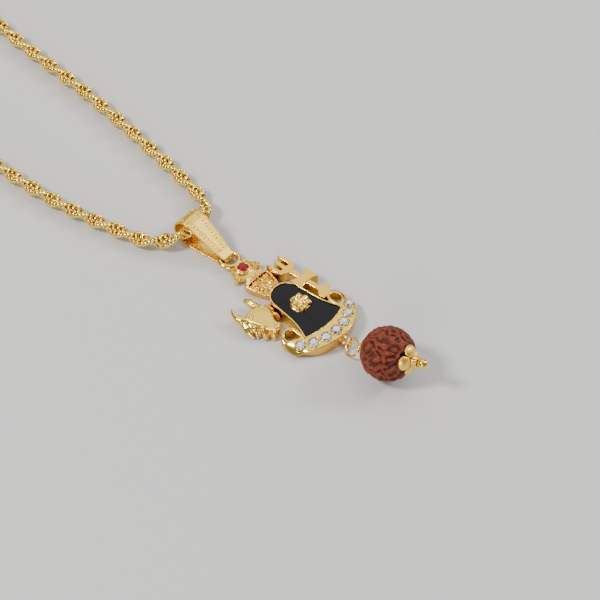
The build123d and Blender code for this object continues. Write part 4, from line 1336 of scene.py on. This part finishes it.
def bail_half_width(y):
    """Half width of the strap, on an arc through its foot, middle and top."""
    foot, middle, top = (17.434, 1.15), (23.684, 2.055), (29.934, 2.4)
    share = (y - foot[0]) / (top[0] - foot[0])
    bow = middle[1] - (foot[1] + top[1]) / 2
    return foot[1] + (top[1] - foot[1]) * share + 4 * bow * share * (1 - share)


def strap_place(run):
    """Place and outward direction on the strap's upper side, by its distance from the foot."""
    normal = Vector((cos(strap_angle), sin(strap_angle)))
    along = Vector((normal.y, -normal.x))
    if run <= upper_run:
        return foot_center + normal * foot_radius + along * run, normal
    angle = strap_angle - (run - upper_run) / fold_radius
    normal = Vector((cos(angle), sin(angle)))
    return fold_center + normal * fold_radius, normal


def middle_half(run):
    """Half width of the smooth middle between the grained bands."""
    return 0.2 + 0.95 * (run / 10.5) ** 1.2 if run > 0 else 0.2


# Stations round the strap: place, outward direction, and the run on its upper side or -1 elsewhere
strap_stations = []
for step in range(49):
    run = upper_run * (1 - step / 48)
    strap_stations.append((*strap_place(run), run))
for step in range(1, 17):
    angle = strap_angle + (radians(270) - strap_angle) * step / 16
    normal = Vector((cos(angle), sin(angle)))
    strap_stations.append((foot_center + normal * foot_radius, normal, -1.0))
for step in range(1, 13):
    place = foot_center + (fold_center - foot_center) * step / 12
    strap_stations.append((Vector((place.x, 0.0)), Vector((0, -1)), -1.0))
for step in range(1, 32):
    angle = radians(270) + (strap_angle + radians(90)) * step / 32
    normal = Vector((cos(angle), sin(angle)))
    run = upper_run + (strap_angle - (angle - 2 * pi)) * fold_radius
    strap_stations.append((fold_center + normal * fold_radius, normal, run))
band_start, band_end, band_depth = 1.2, upper_run + grained_length, 0.10
verts = []
for place, normal, run in strap_stations:
    half = bail_half_width(place.x)
    depth = 0.0
    if 0 <= run <= band_end:
        from_start, from_end = max(0.0, run - band_start), max(0.0, band_end - run)
        depth = band_depth * min(1.0, from_start / 0.5) * min(1.0, from_end / 0.6)
    inner_edge = min(middle_half(max(run, 0.0)), half - 0.75)
    side = [(inner_edge * 0.5, 0.0), (inner_edge - 0.03, 0.0), (inner_edge + 0.05, -depth)]
    side += [((inner_edge + half - 0.22) / 2, -depth), (half - 0.27, -depth), (half - 0.2, 0.0)]
    side += [(half - 0.1, 0.0), (half - 0.03, -0.035), (half, -0.11), (half, -0.34)]
    side += [(half - 0.03, -0.42), (half - 0.1, -strap_wall)]
    under = [(half * 0.5, -strap_wall), (0.0, -strap_wall)]
    profile = [(0.0, 0.0)] + side + under
    profile += [(-x, h) for x, h in reversed((side + under[:1]))]
    for x, h in profile:
        spot = place + normal * h
        verts.append((x, spot.x, spot.y))
strap = closed_mesh("bail_strap", verts, swept_faces(len(strap_stations), len(profile), closed=True))
settle_gold(crisp(strap, 50.0), gold_strap, "bail")

# Two rows of grains in each band: how many, gap between them, offset from the smooth middle, radius
grain_rows = [(20, 0.72, 0.32, 0.22), (32, 0.45, 0.74, 0.14)]
first_grain, last_grain = 1.75, upper_run + 4.6
spots = []
for side in (-1, 1):
    for count, gap, offset, radius in grain_rows:
        for step in range(count):
            run = first_grain + gap * step
            place, normal = strap_place(run)
            half = bail_half_width(place.x)
            x = min(middle_half(run), half - 0.75) + offset
            if run > last_grain or x > half - 0.3:
                continue
            spot = place - normal * band_depth
            spots.append(((side * x, spot.x, spot.y), radius))
dots("bail_grains", spots, gold_grain, "bail")

# Rope chain: open links crowded on two strands that wind left-handed round the route
chain_route = [
    (-0.00575, 0.2761, 0.00156), (-0.023, 0.271, 0.00156), (-0.0375, 0.2495, 0.00156),
    (-0.044, 0.219, 0.00156), (-0.0415, 0.183, 0.00156), (-0.032, 0.149, 0.00156),
    (-0.0215, 0.1185, 0.00156), (-0.0152, 0.0915, 0.00156), (-0.0134, 0.0685, 0.00156),
    (-0.0126, 0.0525, 0.00156), (-0.0098, 0.0395, 0.00156), (-0.0076, 0.0309, 0.00162),
    (-0.0033, 0.02755, 0.00275), (0.0031, 0.02745, 0.00275), (0.0072, 0.0306, 0.00162),
    (0.0088, 0.0405, 0.00156), (0.0108, 0.0555, 0.00156), (0.0122, 0.072, 0.00156),
    (0.0126, 0.0915, 0.00156), (0.017, 0.1185, 0.00156), (0.028, 0.149, 0.00156),
    (0.039, 0.183, 0.00156), (0.0435, 0.219, 0.00156), (0.0375, 0.2495, 0.00156),
    (0.023, 0.271, 0.00156), (0.00575, 0.2761, 0.00156),
]
route_curve = bpy.data.curves.new("chain_route", "CURVE")
route_curve.dimensions = "3D"
route_curve.resolution_u = 24
spline = route_curve.splines.new("NURBS")
spline.points.add(len(chain_route) - 1)
for point, place in zip(spline.points, chain_route):
    point.co = (*place, 1)
spline.order_u = 3
spline.use_endpoint_u = True
route_object = bake(placed("chain_route", route_curve))
route = [vert.co / MM for vert in route_object.data.vertices]
bpy.data.objects.remove(route_object)
under_bail = Vector((0, 27.5, 2.6))
half_index = min(range(len(route)), key=lambda index: (route[index] - under_bail).length)

link_pitch, rope_pitch = 0.46, 10.0
strand_reach, link_half_width, link_half_length, link_wire = 0.5, 0.64, 0.84, 0.38
link_lean = radians(-46)
link_path = []
for step in range(16):
    angle = 2 * pi * step / 16
    run = link_half_length * sin(angle)
    across = strand_reach + link_half_width * cos(angle)
    link_path.append((across, cos(link_lean) * run, sin(link_lean) * run))
link_normal = (0, -sin(link_lean), cos(link_lean))
link_shape = tube("link", link_path, link_wire, sides=6, closed=True, up=link_normal)
twist = pi - 2 * pi * link_pitch / rope_pitch
halves = {"rope_chain_left": route[: half_index + 1][::-1], "rope_chain_right": route[half_index:]}
for name, places in halves.items():
    length = sum((b - a).length for a, b in zip(places, places[1:]))
    path = link_mesh(name, places, edges=zip(range(len(places)), range(1, len(places))))
    count = int(length / link_pitch)
    values = {"shape": link_shape, "material": gold_chain, "count": count, "twist": twist}
    chain = with_nodes(path, chain_tree, **values)
    settle_gold(chain, None, "rope_chain")
bpy.data.objects.remove(link_shape)

# Lobster clasp with its rings
clasp_y, clasp_z = 276.1, 1.56
claw = plate(
    "claw",
    hull_outline((-2.3, 0), 2.35, (2.1, 0), 1.35, 18),
    [hull_outline((-2.5, 0), 1.3, (0.1, 0), 0.7, 12)],
    -1.1,
    1.1,
    bevel=0.4,
    steps=4,
)
lever = blob((-0.4, 1.95, 0.0), (1.1, 0.42, 0.8), turn=-12)
near_ring = ring("near_ring", (4.2, 0, 0), upward, 0.95, 0.55, around=32)
far_ring = ring("far_ring", (-4.45, 0, 0), lengthwise, 0.78, 0.5, around=32)
clasp = joined("lobster_clasp", [crisp(claw), lever, near_ring, far_ring])
clasp.data.transform(Matrix.Translation((0, clasp_y, clasp_z)))
settle_gold(smoothed(clasp), gold_bright, "clasp")
